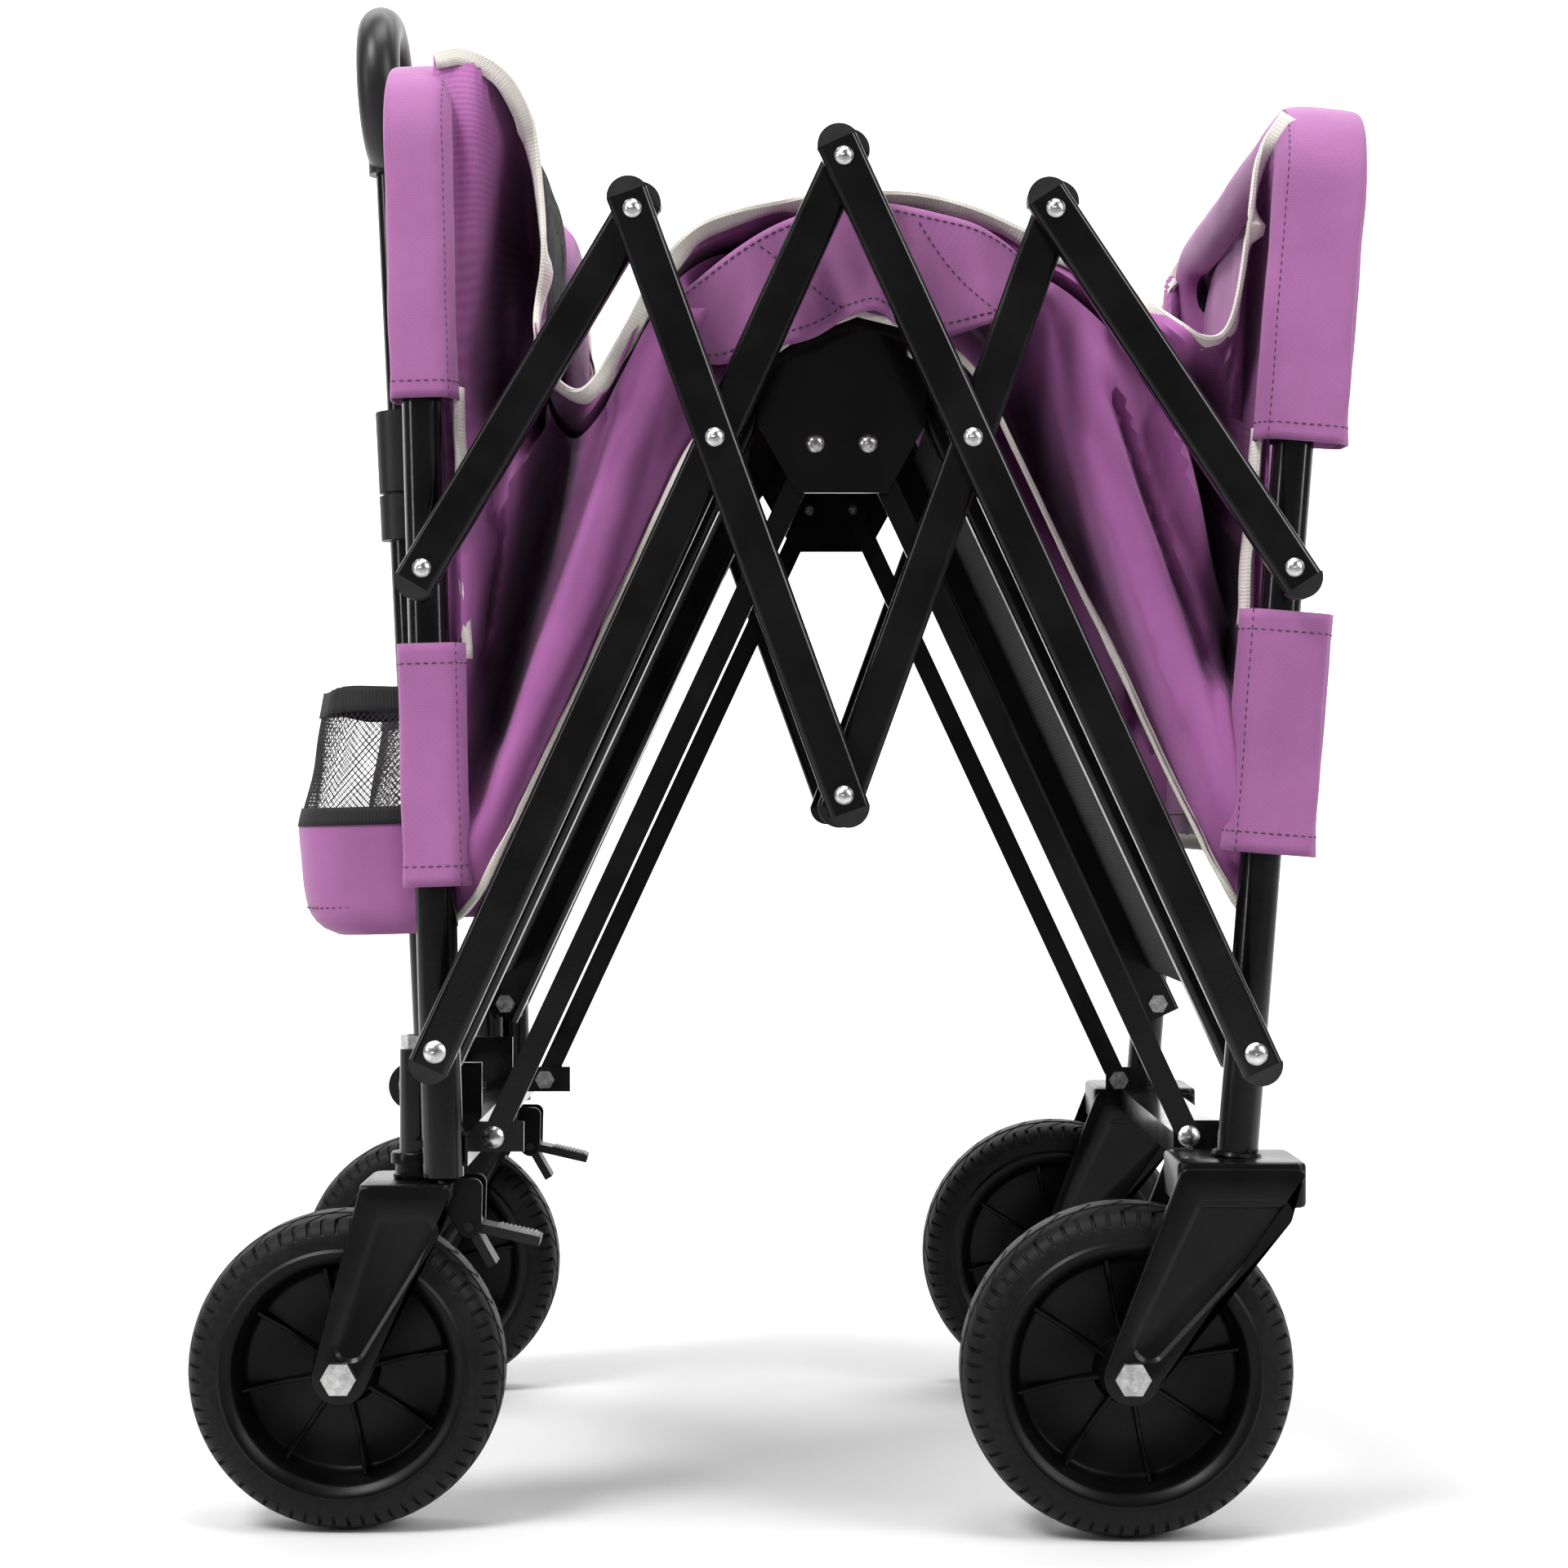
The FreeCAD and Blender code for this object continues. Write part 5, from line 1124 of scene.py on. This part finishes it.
def pocket_rows(centre_y, low, high, count, inset=0, round_foot=False):
    """Rows of points of a pocket's wall from low to high, in the front frame's plane."""
    rows = []
    for i in range(count):
        z = low + (high - low) * i / (count - 1)
        rise = z - POCKET_FLOOR
        belly = POCKET_BELLY * math.sin(min(rise / POCKET_WAIST, 1.0) * math.pi / 2)
        depth = POCKET_DEPTH + belly - inset
        half = POCKET_HALF_WIDTH - inset
        if round_foot and rise < POCKET_CORNER:
            cut = POCKET_CORNER - math.sqrt(max(POCKET_CORNER**2 - (POCKET_CORNER - rise) ** 2, 0.0))
            depth -= cut
            half -= 0.5 * cut
        lean = 1 - 0.22 * max(rise - POCKET_WAIST, 0) / (76 * MM)
        row = []
        for out, y in pocket_outline(half, depth * lean):
            sag = noise.noise(Vector((y * 40, centre_y * 9, z * 30))) * 1.6 * MM
            base = in_plane(FRONT_FOOT, FRONT_UP, centre_y + y, z)
            row.append(base - FRONT_ACROSS * (out + sag + 3 * MM))
        rows.append(row)
    return rows


def pocket(side, sign):
    """A drink pocket: purple foot, black band, net and a puckered elastic top."""
    body, slot = "front_frame", "pocket_cloth"
    y = sign * POCKET_Y
    base_rows = pocket_rows(y, 61 * MM, 124 * MM, 18, round_foot=True)
    middle = sum(base_rows[0], Vector()) / len(base_rows[0])
    floor_rows = []
    for k in range(4):
        share = 0.15 + 0.85 * k / 4
        floor_rows.append([middle.lerp(point, share) for point in base_rows[0]])
    outward = X_AXIS * -1.0 * MM
    seam = stitches(f"front_pocket_stitch_{side}", [p + outward for p in base_rows[4]], body)
    band_rows = pocket_rows(y, 121 * MM, 131 * MM, 4, -0.6 * MM)
    band = fabric(f"front_pocket_band_{side}", band_rows, ELASTIC, body, 1.2 * MM, slot)
    top = []
    for row in pocket_rows(y, 182 * MM, 196 * MM, 5):
        gathered = []
        for j, point in enumerate(row):
            pucker = 0.9 * MM * math.sin(j * 2.9)
            gathered.append(point + Vector((-pucker, 0, 1.5 * MM * math.sin(j * 0.31))))
        top.append(gathered)
    elastic = fabric(f"front_pocket_elastic_{side}", top, ELASTIC, body, 1.8 * MM, slot)
    lining = net(f"front_pocket_net_{side}", pocket_rows(y, 127 * MM, 186 * MM, 30, 0.2 * MM), body)
    rows = floor_rows + base_rows
    shell = cloth(f"front_pocket_base_{side}", rows, body, slot)
    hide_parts("front_pockets")


STRAND_RADIUS = 0.28 * MM


def net(name, rows, body):
    """A knitted diamond net: thin strands that cross over a sheet's rows."""
    lines = []
    count = len(rows)
    long_rows = [evenly(row, 4 * count) for row in rows]
    width = len(long_rows[0])
    for start in range(-count, width, 2):
        for lean in (1, -1):
            line = []
            for i in range(count):
                j = start + i if lean > 0 else start + count - i
                if 0 <= j < width:
                    line.append(long_rows[i][j])
            if len(line) > 1:
                lines.append(line)
    verts, faces = [], []
    for line in lines:
        for index, point in enumerate(line):
            before, after = line[max(index - 1, 0)], line[min(index + 1, len(line) - 1)]
            along = (after - before).normalized()
            side = along.orthogonal().normalized()
            verts += circle(point, side, along.cross(side), STRAND_RADIUS, 3)
            if index:
                base = len(verts) - 6
                for k in range(3):
                    m = (k + 1) % 3
                    faces.append((base + k, base + m, base + 3 + m, base + 3 + k))
    return piece(name, verts, faces, NET, body, slot="pocket_cloth")


for side, sign in SIDES:
    pocket(side, sign)


# ---- zipped pouch inside the front panel ----

POUCH_HEIGHT = 462 * MM
POUCH_HALF = (138 * MM, 62 * MM)
POUCH_OUT = 54 * MM
POUCH_STEPS = 80
POUCH_RINGS = 24
ZIP_RING = 10


def pouch():
    """A flat black pouch on the inner face of the front panel, with a zip round its edge."""
    centre = in_plane(FRONT_FOOT, FRONT_UP, 0, POUCH_HEIGHT) + FRONT_ACROSS * 6 * MM
    rows = []
    for i in range(POUCH_RINGS + 1):
        a = math.pi / 2 * i / POUCH_RINGS
        spread = max(math.cos(a), 0.02) ** 0.35
        out = math.sin(a) ** 0.8 * POUCH_OUT
        ring = []
        for k in range(POUCH_STEPS):
            b = TAU * k / POUCH_STEPS
            y = math.copysign(abs(math.cos(b)) ** 0.35, math.cos(b)) * POUCH_HALF[0]
            z = math.copysign(abs(math.sin(b)) ** 0.55, math.sin(b)) * POUCH_HALF[1]
            puff = noise.noise(Vector((y * 14, z * 16, i * 0.1))) * 1.5 * MM * (i > 2)
            place = centre + Y_AXIS * y * spread + FRONT_UP * z * spread
            ring.append(place + FRONT_ACROSS * (out + puff))
        rows.append(ring)
    verts, faces = lattice(rows, closed=True)
    faces.append(tuple(POUCH_RINGS * POUCH_STEPS + k for k in range(POUCH_STEPS)))
    obj = piece("zipped_pouch", verts, faces, BLACK_CLOTH, "front_frame", slot="pocket_cloth")
    ring = rows[ZIP_RING]
    line = [p + FRONT_ACROSS * 0.6 * MM for p in ring + [ring[0]]]
    stitches("pouch_zip", line, "front_frame", 2.4 * MM, 1.5 * MM, 1.1 * MM, CAP_PLASTIC)


pouch()


# ---- brake pedals ----


PEDAL_TILT = math.radians(-13)
PEDAL_ALONG = Vector((math.cos(PEDAL_TILT), 0, math.sin(PEDAL_TILT)))
PEDAL_UP = Vector((-math.sin(PEDAL_TILT), 0, math.cos(PEDAL_TILT)))
PEDAL_RIDGES = 9
BOX_PLAN = ((-1, -1), (1, -1), (1, 1), (-1, 1))
BOX_FACES = ((0, 3, 2, 1), (4, 5, 6, 7), (0, 1, 5, 4), (1, 2, 6, 5), (2, 3, 7, 6), (3, 0, 4, 7))


def pedal_box(centre, length, width, height):
    """Eight corners of a box that lies along a pedal."""
    along, across, up = PEDAL_ALONG * length / 2, Y_AXIS * width / 2, PEDAL_UP * height / 2
    return [centre + along * i + across * j + up * k for k in (-1, 1) for i, j in BOX_PLAN]


def pedal_pad(side):
    """A pale pad with ridges on a pedal."""
    pivot = PIVOTS[f"brake_pedal_{side}"]
    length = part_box(f"brake_pedal_{side}")[1].x - pivot.x
    boxes = []
    for k in range(PEDAL_RIDGES):
        centre = pivot + PEDAL_ALONG * (length * (0.42 + 0.062 * k)) + PEDAL_UP * 3.1 * MM
        boxes.append(pedal_box(centre, 1.3 * MM, 15 * MM, 1.4 * MM))
    centre = pivot + PEDAL_ALONG * length * 0.67 + PEDAL_UP * 2.7 * MM
    boxes.append(pedal_box(centre, length * 0.6, 17 * MM, 0.9 * MM))
    verts = [corner for box in boxes for corner in box]
    faces = [tuple(8 * index + i for i in face) for index in range(len(boxes)) for face in BOX_FACES]
    name, body = f"pedal_pad_{side}", f"pedal_{side}"
    pad = piece(name, verts, faces, GREY_PLASTIC, body, smooth=False, slot="black_plastic")
    edges = pad.modifiers.new("edges", "BEVEL")
    edges.width = 0.3 * MM
    edges.segments = 2


for side, _ in SIDES:
    pedal_pad(side)


# ---- light, floor and camera ----

CAMERA_BACK = 1.880
CAMERA_HEIGHT = 0.386
CAMERA_OFFSET = -0.0315
CAMERA_TILT = math.radians(90.53)
LENS = 71.0
FLOOR_NEAR, FLOOR_FAR, FLOOR_CURVE = -6.0, 1.6, 1.2
BACKDROP_TOP = 7.0
BACKDROP_HALF = 7.0
WORLD_STRENGTH = 0.16


def area_light(name, place, target, size, power):
    """A rectangular soft box that faces its target."""
    data = bpy.data.lights.new(name, "AREA")
    data.shape = "RECTANGLE"
    data.size, data.size_y = size
    data.energy = power
    lamp = bpy.data.objects.new(name, data)
    bpy.context.collection.objects.link(lamp)
    lamp.location = place
    lamp.rotation_euler = (Vector(target) - Vector(place)).to_track_quat("-Z", "Y").to_euler()


def paper():
    """Pale studio paper with painted shade, greyer on the floor in front, and a faint painted glow where it rises
    behind the wagon.
    """
    n = Nodes("paper")
    where = n.place()
    parts = n.add("ShaderNodeSeparateXYZ")
    n.join(where, parts.inputs["Vector"])
    # Painted shade: the floor's colour greys towards the camera.
    near = n.math("ADD", n.math("MULTIPLY", parts.outputs["Y"], 2.2), 1.9)
    grain = n.math("MULTIPLY", n.noise(where, 3, 3), 0.08)
    shade = n.ramp(n.math("ADD", near, grain), 0.0, 1.0, (0.3, 0.3, 0.3), (0.68, 0.68, 0.68))
    # Painted light: the paper glows where it rises and on the floor far out in front.
    rise = n.math("MULTIPLY", parts.outputs["Z"], 1.4)
    away = n.math("SUBTRACT", n.math("MULTIPLY", parts.outputs["Y"], -0.12), 0.2)
    glow = n.ramp(n.math("MAXIMUM", rise, away), 0.0, 1.0, (0, 0, 0), (0.7, 0.7, 0.7))
    n.join(glow, n.shader.inputs["Emission Color"])
    return n.finish(shade, Roughness=0.9, Emission_Strength=1.0)


def studio():
    """A pale seamless floor that curves up behind the wagon, and six soft boxes."""
    rows = [(FLOOR_NEAR, 0.0), (FLOOR_FAR, 0.0)]
    for degrees in range(6, 91, 6):
        a = math.radians(degrees)
        rows.append((FLOOR_FAR + FLOOR_CURVE * math.sin(a), FLOOR_CURVE - FLOOR_CURVE * math.cos(a)))
    rows.append((FLOOR_FAR + FLOOR_CURVE, BACKDROP_TOP))
    mesh = bpy.data.meshes.new("backdrop")
    verts = [(x, y, z) for y, z in rows for x in (-BACKDROP_HALF, BACKDROP_HALF)]
    faces = [(2 * i, 2 * i + 1, 2 * i + 3, 2 * i + 2) for i in range(len(rows) - 1)]
    mesh.from_pydata(verts, [], faces)
    for polygon in mesh.polygons:
        polygon.use_smooth = True
    backdrop = bpy.data.objects.new("backdrop", mesh)
    bpy.context.collection.objects.link(backdrop)
    mesh.materials.append(paper())
    world = bpy.data.worlds.new("studio")
    world.use_nodes = True
    background = world.node_tree.nodes["Background"]
    background.inputs["Color"].default_value = (1, 1, 1, 1)
    background.inputs["Strength"].default_value = WORLD_STRENGTH
    bpy.context.scene.world = world
    area_light("key", (-1.7, -1.9, 3.1), (0, 0, 0.45), (1.2, 1.2), 112)
    area_light("top", (0.3, -0.4, 3.3), (0, 0, 0.3), (2.0, 1.2), 62)
    area_light("right", (2.4, -1.9, 2.2), (0, 0, 0.45), (1.0, 1.6), 42)
    area_light("strip_left", (-2.4, -1.1, 1.25), (0, 0, 0.45), (0.3, 1.7), 14)
    area_light("strip_right", (2.4, -1.1, 1.25), (0, 0, 0.45), (0.3, 1.7), 14)
    area_light("back", (0.0, 1.4, 3.0), (0, 2.8, 0.8), (4.0, 1.0), 90)


def camera():
    """The camera that sees the wagon from its left side."""
    data = bpy.data.cameras.new("camera")
    data.lens = LENS
    data.sensor_width = 36.0
    eye = bpy.data.objects.new("camera", data)
    bpy.context.collection.objects.link(eye)
    eye.location = (MIDDLE + CAMERA_OFFSET, -CAMERA_BACK, CAMERA_HEIGHT)
    eye.rotation_euler = (CAMERA_TILT, 0, 0)
    bpy.context.scene.camera = eye


studio()
camera()
bpy.context.scene.view_settings.view_transform = "Standard"
